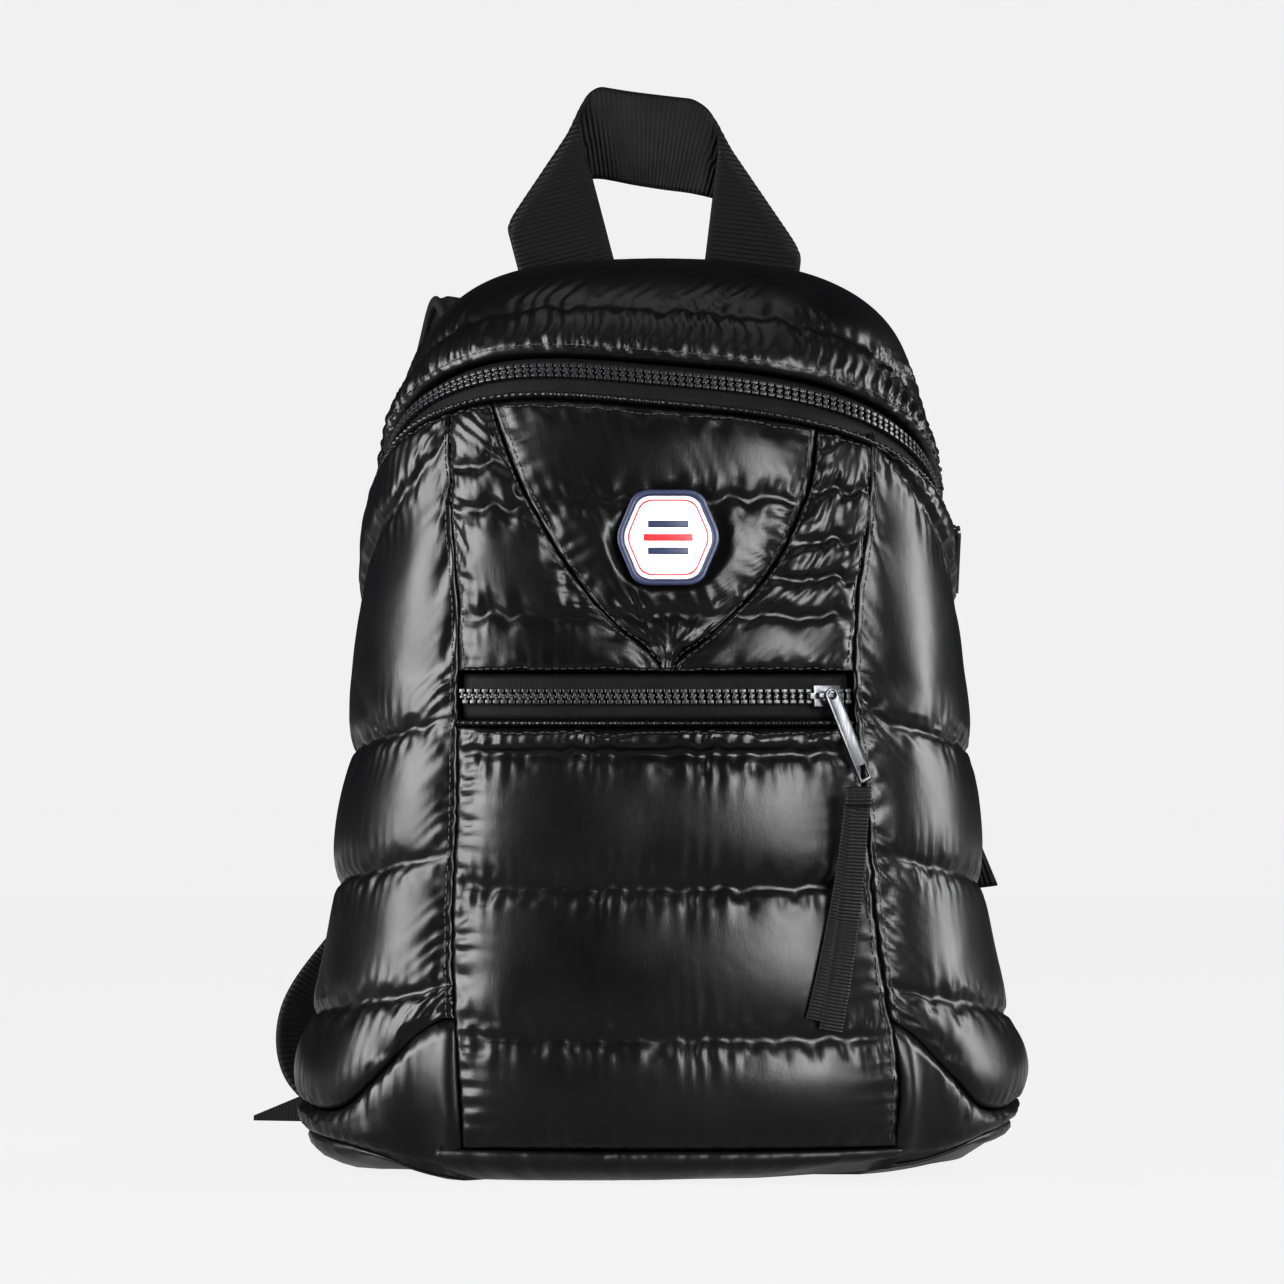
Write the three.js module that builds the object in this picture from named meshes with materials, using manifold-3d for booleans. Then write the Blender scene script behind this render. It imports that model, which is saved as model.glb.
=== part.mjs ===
// A quilted puffer backpack with two zips, a folded webbing handle and two shoulder straps.
// Millimetres, +Z up. The front faces -Y and the bag stands on its flat base at z = 0.
import * as THREE from 'three';
import Module from 'manifold-3d';

const wasm = await Module();
wasm.setup();

// Body
const BODY_HEIGHT = 361;
const HALF_WIDTH = 146;
const FRONT_DEPTH = 80;
const BACK_DEPTH = 61;
const BACK_SEAM_Y = 46;
const TILT_START_HEIGHT = 200;
const TILT_END_HEIGHT = 0.88 * BODY_HEIGHT;
const FRONT_ROUNDNESS = 2.5;
const BACK_ROUNDNESS = 4.5;

// Padding
const WALL = 8;
const SEAM_GAP = 0.8;
const PUFF = 4.5;
const BACK_PUFF = 3;
const YOKE_PUFF = 3.2;

// Front seams
const SEAM_HALF = 78;
const BASE_SEAM_HEIGHT = 14;
const POCKET_ZIP_HEIGHT = 189;
const CORNER_HEIGHT = 50;
const SIDE_DROP = 22;
const V_HALF = 66;
const V_TIP_HEIGHT = 202;

// Zips
const ZIP_TILT = 34;
const TAPE_WIDTH = 16;
const POCKET_TAPE_WIDTH = 18;
const TAPE_THICKNESS = 1.4;
const TAPE_RECESS = 3.5;
const CHAIN_WIDTH = 6;
const CHAIN_THICKNESS = 2.4;
const PIPING_WIDTH = 2.6;
const SLIDER_WIDTH = 8.4;
const SLIDER_LENGTH = 11;
const PLATE_THICKNESS = 1.2;
const PULLER_WIDTH = 5.5;
const PULLER_LENGTH = 36;
const PULLER_THICKNESS = 1.6;

// Straps and trim
const HANDLE_HALF_SPAN = 60;
const HANDLE_HEIGHT = 80;
const HANDLE_Y = 46;
const HANDLE_THICKNESS = 2;
const FOLD_RADIUS = 4;
const STRAP_WIDTH = 52;
const STRAP_THICKNESS = 9;
const STRAP_SPAN = 98;
const STRAP_REACH = 32;
const WEBBING_WIDTH = 25;
const WEBBING_THICKNESS = 1.8;
const RIBBON_WIDTH = 9;
const RIBBON_THICKNESS = 1.2;
const RIBBON_LENGTH = 98;
const BADGE_WIDTH = 41;
const BADGE_HEIGHT = 37;
const BADGE_THICKNESS = 2;
const BADGE_PLACE = 250;
const BADGE_SHARE = 0.02;
const FIT_GAP = 0.35;

// Body sections: height / BODY_HEIGHT, left and right half width / HALF_WIDTH,
// front depth / FRONT_DEPTH, back depth and widest place / BACK_DEPTH
const SECTIONS = [
  [0.000, 0.850, 0.815, 0.80, 0.93, 0.30],
  [0.014, 0.910, 0.890, 0.89, 0.97, 0.30],
  [0.039, 0.955, 0.950, 0.96, 0.99, 0.30],
  [0.080, 0.972, 0.985, 0.99, 1.00, 0.30],
  [0.115, 0.968, 0.995, 1.00, 1.00, 0.30],
  [0.160, 0.940, 0.958, 1.00, 1.00, 0.30],
  [0.247, 0.878, 0.894, 0.98, 1.00, 0.30],
  [0.360, 0.860, 0.866, 0.95, 1.00, 0.30],
  [0.450, 0.825, 0.846, 0.93, 1.00, 0.30],
  [0.560, 0.808, 0.815, 0.90, 1.00, 0.30],
  [0.720, 0.782, 0.791, 0.85, 1.00, 0.30],
  [0.812, 0.737, 0.743, 0.78, 1.00, 0.31],
  [0.875, 0.672, 0.686, 0.69, 0.98, 0.32],
  [0.918, 0.620, 0.648, 0.58, 0.95, 0.34],
  [0.948, 0.562, 0.585, 0.46, 0.90, 0.36],
  [0.968, 0.500, 0.510, 0.32, 0.84, 0.38],
  [0.984, 0.410, 0.410, 0.14, 0.76, 0.40],
  [0.995, 0.260, 0.260, -0.10, 0.64, 0.42],
  [1.000, 0.020, 0.020, -0.31, 0.45, 0.44],
];

// Vertical seams: height / BODY_HEIGHT, left and right offset / SEAM_HALF
const VERTICAL_SEAMS = [
  [0.00, 0.960, 1.170],
  [0.11, 0.985, 1.200],
  [0.21, 1.015, 1.130],
  [0.30, 1.020, 1.075],
  [0.40, 1.000, 1.040],
  [0.50, 1.000, 0.985],
  [0.62, 0.995, 0.990],
  [0.72, 1.030, 1.055],
  [0.90, 1.040, 1.075],
];

// V seam: share of the way from its tip to the zip, left and right offset / V_HALF
const V_SEAM = [
  [0.00, -0.030, 0.085],
  [0.06, 0.075, 0.215],
  [0.13, 0.210, 0.350],
  [0.23, 0.370, 0.510],
  [0.36, 0.520, 0.670],
  [0.50, 0.650, 0.790],
  [0.64, 0.770, 0.880],
  [0.80, 0.880, 0.930],
  [1.00, 0.980, 0.950],
];

// Curved corner seam: share of the way round to the back seam, share of CORNER_HEIGHT
const CORNER_SEAM = [
  [0.00, 1.00],
  [0.08, 0.88],
  [0.18, 0.60],
  [0.30, 0.28],
  [0.42, 0.14],
  [0.60, 0.12],
  [1.00, 0.16],
];

// Zip tilt: place across the body from -1 to 1, share of ZIP_TILT
const ZIP_LINE = [
  [-1.0, 1.10],
  [-0.7, 1.16],
  [-0.4, 1.10],
  [0.0, 1.00],
  [0.4, 0.97],
  [1.0, 1.00],
];

// Quilt lines as shares of BODY_HEIGHT
const POCKET_LINES = [0.158, 0.319, 0.463];
const SIDE_LINES = [0.216, 0.360, 0.506, 0.646];
const YOKE_LINES = [0.61, 0.735];
const GUSSET_LINES = [0.30];

const COLOURS = {
  nylon: { color: 0x0b0b0d, roughness: 0.26, metalness: 0 },
  plain: { color: 0x101012, roughness: 0.6, metalness: 0 },
  tape: { color: 0x0e0e10, roughness: 0.8, metalness: 0 },
  teeth: { color: 0x141416, roughness: 0.35, metalness: 0 },
  metal: { color: 0x3c3c40, roughness: 0.32, metalness: 1 },
  webbing: { color: 0x121214, roughness: 0.85, metalness: 0 },
  badge: { color: 0xe8e8ea, roughness: 0.5, metalness: 0 },
};

const clamp = (value, low, high) => Math.min(high, Math.max(low, value));
const mix = (a, b, t) => a + (b - a) * t;
const vec = (x, y, z) => new THREE.Vector3(x, y, z);

// Smooth reading of one column of a table whose first column rises
function readTable(table, key, column) {
  const last = table.length - 1;
  let i = 0;
  while (i < last - 1 && key > table[i + 1][0]) i++;
  const [a, b] = [table[i], table[i + 1]];
  const before = table[Math.max(i - 1, 0)];
  const after = table[Math.min(i + 2, last)];
  const t = clamp((key - a[0]) / (b[0] - a[0]), 0, 1);
  const span = b[0] - a[0];
  const slopeA = (b[column] - before[column]) / (b[0] - before[0]) * span;
  const slopeB = (after[column] - a[column]) / (after[0] - a[0]) * span;
  const t2 = t * t;
  const t3 = t2 * t;
  return (2 * t3 - 3 * t2 + 1) * a[column] + (t3 - 2 * t2 + t) * slopeA
    + (3 * t2 - 2 * t3) * b[column] + (t3 - t2) * slopeB;
}

// Under 1 inside the seam-level body and over 1 outside it
function bodyField(x, y, z) {
  if (z < -1 || z > BODY_HEIGHT) return 9;
  const key = clamp(z / BODY_HEIGHT, 0, 1);
  const width = Math.max(HALF_WIDTH * readTable(SECTIONS, key, x < 0 ? 1 : 2), 1);
  const middle = BACK_DEPTH * readTable(SECTIONS, key, 5);
  const front = y < middle;
  const edge = front ? -FRONT_DEPTH * readTable(SECTIONS, key, 3) : BACK_DEPTH * readTable(SECTIONS, key, 4);
  const power = front ? FRONT_ROUNDNESS : BACK_ROUNDNESS;
  const depth = Math.max(Math.abs(edge - middle), 1);
  return Math.abs(x / width) ** power + Math.abs((y - middle) / depth) ** power;
}

// Distance from a point inside the body to its surface along a unit direction
function reach(origin, direction) {
  let low = 0;
  let high = 2.4 * HALF_WIDTH;
  for (let i = 0; i < 32; i++) {
    const middle = (low + high) / 2;
    const p = direction.clone().multiplyScalar(middle).add(origin);
    if (bodyField(p.x, p.y, p.z) < 1) low = middle;
    else high = middle;
  }
  return low;
}

function surfaceNormal(p) {
  const e = 0.4;
  const z = clamp(p.z, e, BODY_HEIGHT - e);
  return vec(
    bodyField(p.x + e, p.y, z) - bodyField(p.x - e, p.y, z),
    bodyField(p.x, p.y + e, z) - bodyField(p.x, p.y - e, z),
    bodyField(p.x, p.y, Math.min(z + e, BODY_HEIGHT)) - bodyField(p.x, p.y, z - e),
  ).normalize();
}

// A level is a height up to TILT_START_HEIGHT, and above it the start height plus degrees of
// tilt about a line that climbs the back seam, so the sections turn over the top of the bag.
const FULL_TILT = 90;
const LEVEL_TOP = TILT_START_HEIGHT + FULL_TILT;

function levelPlane(level) {
  const tilt = clamp(level - TILT_START_HEIGHT, 0, FULL_TILT);
  const climb = (TILT_END_HEIGHT - TILT_START_HEIGHT) * tilt / FULL_TILT;
  const angle = THREE.MathUtils.degToRad(tilt);
  const origin = vec(0, BACK_SEAM_Y, Math.min(level, TILT_START_HEIGHT) + climb);
  return { origin, forward: vec(0, -Math.cos(angle), Math.sin(angle)) };
}

const SECTION_STEPS = 40;
const sectionStore = new Map();

// One section as points with their share of the way round, -1 at the left back seam to 1
function section(level) {
  const key = level.toFixed(2);
  if (sectionStore.has(key)) return sectionStore.get(key);
  const { origin, forward } = levelPlane(level);
  const points = [];
  for (let i = -SECTION_STEPS; i <= SECTION_STEPS; i++) {
    const angle = (i / SECTION_STEPS) * Math.PI / 2;
    const direction = forward.clone().multiplyScalar(Math.cos(angle)).add(vec(Math.sin(angle), 0, 0));
    points.push(direction.multiplyScalar(reach(origin, direction)).add(origin));
  }
  const lengths = [0];
  for (let i = 1; i < points.length; i++) lengths.push(lengths[i - 1] + points[i].distanceTo(points[i - 1]));
  const half = lengths[SECTION_STEPS];
  const rest = lengths[2 * SECTION_STEPS] - half;
  const shares = lengths.map((length) => (length <= half ? length / half - 1 : (length - half) / rest));
  const found = { points, shares };
  sectionStore.set(key, found);
  return found;
}

function surfacePoint(level, share) {
  const { points, shares } = section(level);
  const wanted = clamp(share, -1, 1);
  let i = 0;
  while (i < shares.length - 2 && shares[i + 1] < wanted) i++;
  const t = (wanted - shares[i]) / (shares[i + 1] - shares[i]);
  return points[i].clone().lerp(points[i + 1], t);
}

function surfaceFrame(level, share) {
  const point = surfacePoint(level, share);
  return { point, normal: surfaceNormal(point) };
}

// Share where the section meets a seam given as x by height on the front
function shareAtSeam(level, seamX, side) {
  let low = side < 0 ? -0.8 : -0.3;
  let high = side < 0 ? 0.3 : 0.8;
  for (let i = 0; i < 22; i++) {
    const middle = (low + high) / 2;
    const p = surfacePoint(level, middle);
    if (p.x < seamX(p.z)) low = middle;
    else high = middle;
  }
  return low;
}

const HIGHEST_FRONT_TILT = 75;

// Level where a line of constant share on the front reaches a height
function levelAtHeight(height, share) {
  let low = 0;
  let high = TILT_START_HEIGHT + HIGHEST_FRONT_TILT;
  for (let i = 0; i < 22; i++) {
    const middle = (low + high) / 2;
    if (surfacePoint(middle, share).z < height) low = middle;
    else high = middle;
  }
  return low;
}

const seamLeftX = (z) => -SEAM_HALF * readTable(VERTICAL_SEAMS, z / BODY_HEIGHT, 1);
const seamRightX = (z) => SEAM_HALF * readTable(VERTICAL_SEAMS, z / BODY_HEIGHT, 2);
const V_TOP_HEIGHT = BODY_HEIGHT * 0.84;
const vShare = (z) => clamp((z - V_TIP_HEIGHT) / (V_TOP_HEIGHT - V_TIP_HEIGHT), 0, 1);
const vLeftX = (z) => -V_HALF * readTable(V_SEAM, vShare(z), 1);
const vRightX = (z) => V_HALF * readTable(V_SEAM, vShare(z), 2);

const shareStore = new Map();

function seamShare(name, level) {
  const key = name + level.toFixed(1);
  if (!shareStore.has(key)) {
    const seams = {
      left: [seamLeftX, -1], right: [seamRightX, 1], vLeft: [vLeftX, -1], vRight: [vRightX, 1],
    };
    shareStore.set(key, shareAtSeam(level, ...seams[name]));
  }
  return shareStore.get(key);
}

const zipLevel = (share) => TILT_START_HEIGHT + ZIP_TILT * readTable(ZIP_LINE, share, 1);

// Level that lies a distance in mm above the zip's middle line
function levelBesideZip(share, distance) {
  const level = zipLevel(share);
  const step = surfacePoint(level + 1, share).sub(surfacePoint(level - 1, share)).multiplyScalar(0.5);
  const along = surfacePoint(zipLevel(share + 0.01), share + 0.01)
    .sub(surfacePoint(zipLevel(share - 0.01), share - 0.01)).normalize();
  const across = step.clone().addScaledVector(along, -step.dot(along));
  return level + distance / across.length();
}

// A closed body from a grid of outer points and the matching inner points
function shellSolid(outer, inner) {
  const rows = outer.length;
  const columns = outer[0].length;
  const positions = [];
  for (const p of [...outer.flat(), ...inner.flat()]) positions.push(p.x, p.y, p.z);
  const at = (side, i, j) => side * rows * columns + i * columns + j;
  const faces = [];
  const quad = (a, b, c, d) => faces.push(a, b, c, a, c, d);
  for (let i = 0; i < rows - 1; i++) {
    for (let j = 0; j < columns - 1; j++) {
      quad(at(0, i, j), at(0, i, j + 1), at(0, i + 1, j + 1), at(0, i + 1, j));
      quad(at(1, i, j), at(1, i + 1, j), at(1, i + 1, j + 1), at(1, i, j + 1));
    }
  }
  for (let j = 0; j < columns - 1; j++) {
    quad(at(0, 0, j), at(1, 0, j), at(1, 0, j + 1), at(0, 0, j + 1));
    quad(at(0, rows - 1, j), at(0, rows - 1, j + 1), at(1, rows - 1, j + 1), at(1, rows - 1, j));
  }
  for (let i = 0; i < rows - 1; i++) {
    quad(at(0, i, 0), at(0, i + 1, 0), at(1, i + 1, 0), at(1, i, 0));
    quad(at(0, i, columns - 1), at(1, i, columns - 1), at(1, i + 1, columns - 1), at(0, i + 1, columns - 1));
  }
  return faced(positions, faces);
}

// A closed body through rings of points, with flat fans at both ends
function ringSolid(rings) {
  const count = rings[0].length;
  const positions = [];
  for (const ring of rings) for (const p of ring) positions.push(p.x, p.y, p.z);
  const faces = [];
  for (let i = 0; i < rings.length - 1; i++) {
    for (let j = 0; j < count; j++) {
      const [a, b] = [i * count + j, i * count + (j + 1) % count];
      faces.push(a, b, b + count, a, b + count, a + count);
    }
  }
  const last = (rings.length - 1) * count;
  for (let j = 1; j < count - 1; j++) {
    faces.push(0, j + 1, j);
    faces.push(last, last + j, last + j + 1);
  }
  return faced(positions, faces);
}

// Turns the faces outwards by the sign of the enclosed volume
function faced(positions, faces) {
  let volume = 0;
  const corner = (i) => vec(positions[3 * i], positions[3 * i + 1], positions[3 * i + 2]);
  for (let i = 0; i < faces.length; i += 3) {
    volume += corner(faces[i]).dot(corner(faces[i + 1]).cross(corner(faces[i + 2])));
  }
  if (volume < 0) {
    for (let i = 0; i < faces.length; i += 3) [faces[i + 1], faces[i + 2]] = [faces[i + 2], faces[i + 1]];
  }
  const geometry = new THREE.BufferGeometry();
  geometry.setAttribute('position', new THREE.Float32BufferAttribute(positions, 3));
  geometry.setIndex(faces);
  geometry.computeVertexNormals();
  return geometry;
}

const ROWS_IN_CELL = [0, 0.16, 0.5, 0.84];

// A padded panel between two side seams, with a row of quilted cells between its lines.
// sides and lines are functions: share by level, and level by share.
function quiltedPanel({ sides, lines, columns, puff = PUFF }) {
  const outer = [];
  const inner = [];
  const rowsAt = [];
  for (let cell = 0; cell < lines.length - 1; cell++) for (const f of ROWS_IN_CELL) rowsAt.push([cell, f]);
  rowsAt.push([lines.length - 2, 1]);
  const lastRow = rowsAt.length - 1;
  rowsAt.forEach(([cell, f], row) => {
    const outerRow = [];
    const innerRow = [];
    for (let j = 0; j <= columns; j++) {
      const u = j / columns;
      let share = (sides[0](150) + sides[1](150)) / 2;
      let level = 0;
      for (let pass = 0; pass < 5; pass++) {
        level = mix(lines[cell](share), lines[cell + 1](share), f);
        share = mix(sides[0](level), sides[1](level), u);
      }
      const acrossStep = surfacePoint(level, Math.min(share + 0.01, 1))
        .distanceTo(surfacePoint(level, Math.max(share - 0.01, -1))) / 0.02;
      const upStep = surfacePoint(level + 0.5, share).distanceTo(surfacePoint(level - 0.5, share));
      if (j === 0) share += SEAM_GAP / 2 / acrossStep;
      if (j === columns) share -= SEAM_GAP / 2 / acrossStep;
      if (row === 0) level += SEAM_GAP / 2 / upStep;
      if (row === lastRow) level -= SEAM_GAP / 2 / upStep;
      const { point, normal } = surfaceFrame(level, share);
      const rise = puff * (4 * f * (1 - f)) ** 0.6 * (1 - Math.abs(2 * u - 1) ** 5);
      outerRow.push(point.clone().addScaledVector(normal, rise));
      innerRow.push(point.clone().addScaledVector(normal, -WALL));
    }
    outer.push(outerRow);
    inner.push(innerRow);
  });
  return shellSolid(outer, inner);
}

// A flat strip along a list of frames: middle point, direction across, direction out
function strip(frames, width, thickness) {
  return ringSolid(frames.map(({ point, across, out }) => [[-1, -1], [1, -1], [1, 1], [-1, 1]].map(
    ([a, b]) => point.clone().addScaledVector(across, a * width / 2).addScaledVector(out, b * thickness / 2),
  )));
}

// Frames along a path given by frameAt(t) that returns a point and the way out
function framesAlong(steps, frameAt, shift = 0, lift = 0) {
  const frames = [];
  for (let i = 0; i <= steps; i++) {
    const t = i / steps;
    const { point, normal } = frameAt(t);
    const ahead = frameAt(Math.min(t + 0.004, 1)).point;
    const behind = frameAt(Math.max(t - 0.004, 0)).point;
    const along = ahead.sub(behind).normalize();
    const across = normal.clone().cross(along).normalize();
    if (across.z < 0) across.negate();
    point.addScaledVector(across, shift).addScaledVector(normal, lift);
    frames.push({ point, across, out: normal });
  }
  return frames;
}

function box(width, depth, height, x = 0, y = 0, z = 0) {
  return new THREE.BoxGeometry(width, depth, height).translate(x, y, z);
}

// Joins closed geometries into one body
function joined(geometries) {
  let total = null;
  for (const geometry of geometries) {
    const keys = new Map();
    const vertices = [];
    const index = [];
    const position = geometry.getAttribute('position');
    const order = geometry.index ? Array.from(geometry.index.array) : [...Array(position.count).keys()];
    for (const i of order) {
      const p = [position.getX(i), position.getY(i), position.getZ(i)].map((v) => Math.round(v * 1e4) / 1e4);
      const key = p.join();
      if (!keys.has(key)) {
        keys.set(key, vertices.length / 3);
        vertices.push(...p);
      }
      index.push(keys.get(key));
    }
    const mesh = new wasm.Mesh({
      numProp: 3, vertProperties: new Float32Array(vertices), triVerts: new Uint32Array(index),
    });
    const solid = new wasm.Manifold(mesh);
    total = total ? total.add(solid) : solid;
  }
  const mesh = total.getMesh();
  return faced(Array.from(mesh.vertProperties), Array.from(mesh.triVerts));
}

// Turns a geometry from its own x, y, z to a place with given across, out and up directions
function placed(geometry, { point, across, out }) {
  const up = across.clone().cross(out).normalize();
  const matrix = new THREE.Matrix4().makeBasis(across, out, up).setPosition(point);
  return geometry.applyMatrix4(matrix);
}

const group = new THREE.Group();

function add(name, geometry, finish) {
  const mesh = new THREE.Mesh(geometry, new THREE.MeshStandardMaterial(COLOURS[finish]));
  mesh.name = name;
  group.add(mesh);
}

// Front panels
const tapeTop = TAPE_WIDTH / 2 - 1.6;
const tapeBottom = tapeTop - TAPE_WIDTH;
const lowerZipLine = (share) => levelBesideZip(share, tapeBottom - FIT_GAP - PIPING_WIDTH);
const upperZipLine = (share) => levelBesideZip(share, tapeTop + 2 * FIT_GAP);
const heightLine = (height) => (share) => levelAtHeight(height, share);
const pocketZipTop = POCKET_ZIP_HEIGHT + POCKET_TAPE_WIDTH / 2 + FIT_GAP;
const pocketZipBottom = POCKET_ZIP_HEIGHT - POCKET_TAPE_WIDTH / 2 - FIT_GAP - PIPING_WIDTH;
const leftSeam = (level) => seamShare('left', level);
const rightSeam = (level) => seamShare('right', level);
const vLeft = (level) => seamShare('vLeft', level);
const vRight = (level) => seamShare('vRight', level);
const yokeLines = [
  heightLine(pocketZipTop), ...YOKE_LINES.map((h) => heightLine(h * BODY_HEIGHT)), lowerZipLine,
];

function addFrontPanels() {
  add('yoke_center', quiltedPanel({
    sides: [vLeft, vRight], lines: yokeLines, columns: 8, puff: YOKE_PUFF,
  }), 'nylon');
  add('yoke_left', quiltedPanel({ sides: [leftSeam, vLeft], lines: yokeLines, columns: 6 }), 'nylon');
  add('yoke_right', quiltedPanel({ sides: [vRight, rightSeam], lines: yokeLines, columns: 6 }), 'nylon');
  const pocketLines = [BASE_SEAM_HEIGHT, ...POCKET_LINES.map((h) => h * BODY_HEIGHT), pocketZipBottom];
  add('pocket_panel', quiltedPanel({
    sides: [leftSeam, rightSeam], lines: pocketLines.map(heightLine), columns: 10,
  }), 'nylon');
}

// Side panels and lower corners, each from its front seam round to the back seam
function addSidePanels() {
  for (const [name, side, seam] of [['left', -1, leftSeam], ['right', 1, rightSeam]]) {
    const sides = side < 0 ? [() => -1, seam] : [seam, () => 1];
    const wayRound = (share) => {
      const start = Math.abs(seam(100));
      return clamp((Math.abs(share) - start) / (1 - start), 0, 1);
    };
    const cornerShare = (share) => readTable(CORNER_SEAM, wayRound(share), 1);
    const cornerLine = (share) => BASE_SEAM_HEIGHT + CORNER_HEIGHT * cornerShare(share);
    const sideLine = (height) => (share) => height * BODY_HEIGHT - SIDE_DROP * wayRound(share) ** 0.7;
    const lines = [cornerLine, ...SIDE_LINES.map(sideLine), lowerZipLine];
    add(`side_panel_${name}`, quiltedPanel({ sides, lines, columns: 11 }), 'nylon');
    add(`lower_corner_${name}`, quiltedPanel({
      sides, lines: [() => BASE_SEAM_HEIGHT, cornerLine], columns: 11, puff: 3,
    }), 'nylon');
  }
}

function addTopGusset() {
  const quiltLine = (share) => mix(upperZipLine(share), LEVEL_TOP, GUSSET_LINES[0]);
  add('top_gusset', quiltedPanel({
    sides: [() => -1, () => 1], lines: [upperZipLine, quiltLine, () => LEVEL_TOP], columns: 26,
  }), 'nylon');
}

// Zips
const ZIP_END = 0.94;

function mainZipFrame(t) {
  const share = mix(-ZIP_END, ZIP_END, t);
  return surfaceFrame(zipLevel(share), share);
}

function pocketZipFrame(t, height = POCKET_ZIP_HEIGHT) {
  const level = levelAtHeight(height, 0);
  const inset = 0.006;
  const share = mix(leftSeam(level) + inset, rightSeam(level) - inset, t);
  return surfaceFrame(levelAtHeight(height, share), share);
}

// One zip: its tape, its chain, and the rolled edge along the tape's lower side
function addZip(name, steps, zipFrame, width, middle) {
  const chainLift = (TAPE_THICKNESS + CHAIN_THICKNESS) / 2 + FIT_GAP - TAPE_RECESS;
  const pipingShift = middle - width / 2 - FIT_GAP / 2 - PIPING_WIDTH / 2;
  const tape = framesAlong(steps, zipFrame, middle, -TAPE_RECESS);
  const chain = framesAlong(steps, zipFrame, 0, chainLift);
  const piping = framesAlong(steps, zipFrame, pipingShift, -PIPING_WIDTH / 2);
  add(`${name}_tape`, strip(tape, width, TAPE_THICKNESS), 'tape');
  add(`${name}_chain`, strip(chain, CHAIN_WIDTH, CHAIN_THICKNESS), 'teeth');
  add(`${name}_piping`, strip(piping, PIPING_WIDTH - FIT_GAP, 2 * PIPING_WIDTH), 'nylon');
}

function addZips() {
  addZip('main_zip', 44, mainZipFrame, TAPE_WIDTH, (tapeTop + tapeBottom) / 2);
  addZip('pocket_zip', 12, pocketZipFrame, POCKET_TAPE_WIDTH, 0);
}

// Slider seen from outside: a plate over the chain with a raised bridge for the puller
const BRIDGE_RISE = 3.2;
const BRIDGE_BAR = 1.2;

function sliderGeometry() {
  const half = PLATE_THICKNESS / 2;
  const bridgeTop = -half - BRIDGE_RISE;
  return joined([
    box(SLIDER_WIDTH, PLATE_THICKNESS, SLIDER_LENGTH),
    box(SLIDER_WIDTH * 0.3, PLATE_THICKNESS, SLIDER_LENGTH + 3),
    box(2, BRIDGE_RISE + half, 1.4, 0, bridgeTop / 2, SLIDER_LENGTH * 0.36),
    box(2, BRIDGE_RISE + half, 1.4, 0, bridgeTop / 2, -SLIDER_LENGTH * 0.36),
    box(2, BRIDGE_BAR, SLIDER_LENGTH * 0.72 + 1.4, 0, bridgeTop, 0),
  ]);
}

// Puller plate: a ring end, a plain plate and a slot for the ribbon, hanging down from z = 0
function pullerGeometry(length) {
  const outline = new THREE.Shape();
  const half = PULLER_WIDTH / 2;
  outline.absarc(0, 0, half, 0, Math.PI, false);
  outline.lineTo(-half, -length);
  outline.lineTo(half, -length);
  outline.closePath();
  const eye = new THREE.Path();
  eye.absarc(0, 0, half - 1.1, 0, Math.PI * 2, true);
  const slot = new THREE.Path();
  const slotTop = -length + 6.4;
  slot.moveTo(-half + 1.1, slotTop);
  slot.lineTo(half - 1.1, slotTop);
  slot.lineTo(half - 1.1, -length + 1.3);
  slot.lineTo(-half + 1.1, -length + 1.3);
  slot.closePath();
  outline.holes.push(eye, slot);
  const geometry = new THREE.ExtrudeGeometry(outline, {
    depth: PULLER_THICKNESS, bevelEnabled: false, curveSegments: 8,
  });
  return geometry.translate(0, 0, -PULLER_THICKNESS / 2).rotateX(Math.PI / 2);
}

// Places of the two sliders along their zips, and the lean of the pocket puller in radians
const POCKET_PULL_PLACE = 0.93;
const MAIN_PULL_PLACE = 0.985;
const PULLER_LEAN = 0.38;
const MAIN_PULLER_LEAN = 0.9;

const PLATE_LIFT = CHAIN_THICKNESS + TAPE_THICKNESS / 2 + 2 * FIT_GAP + PLATE_THICKNESS / 2 - TAPE_RECESS;
const PULLER_LIFT = PLATE_THICKNESS / 2 + BRIDGE_RISE + BRIDGE_BAR / 2 + FIT_GAP + PULLER_THICKNESS / 2;

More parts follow.
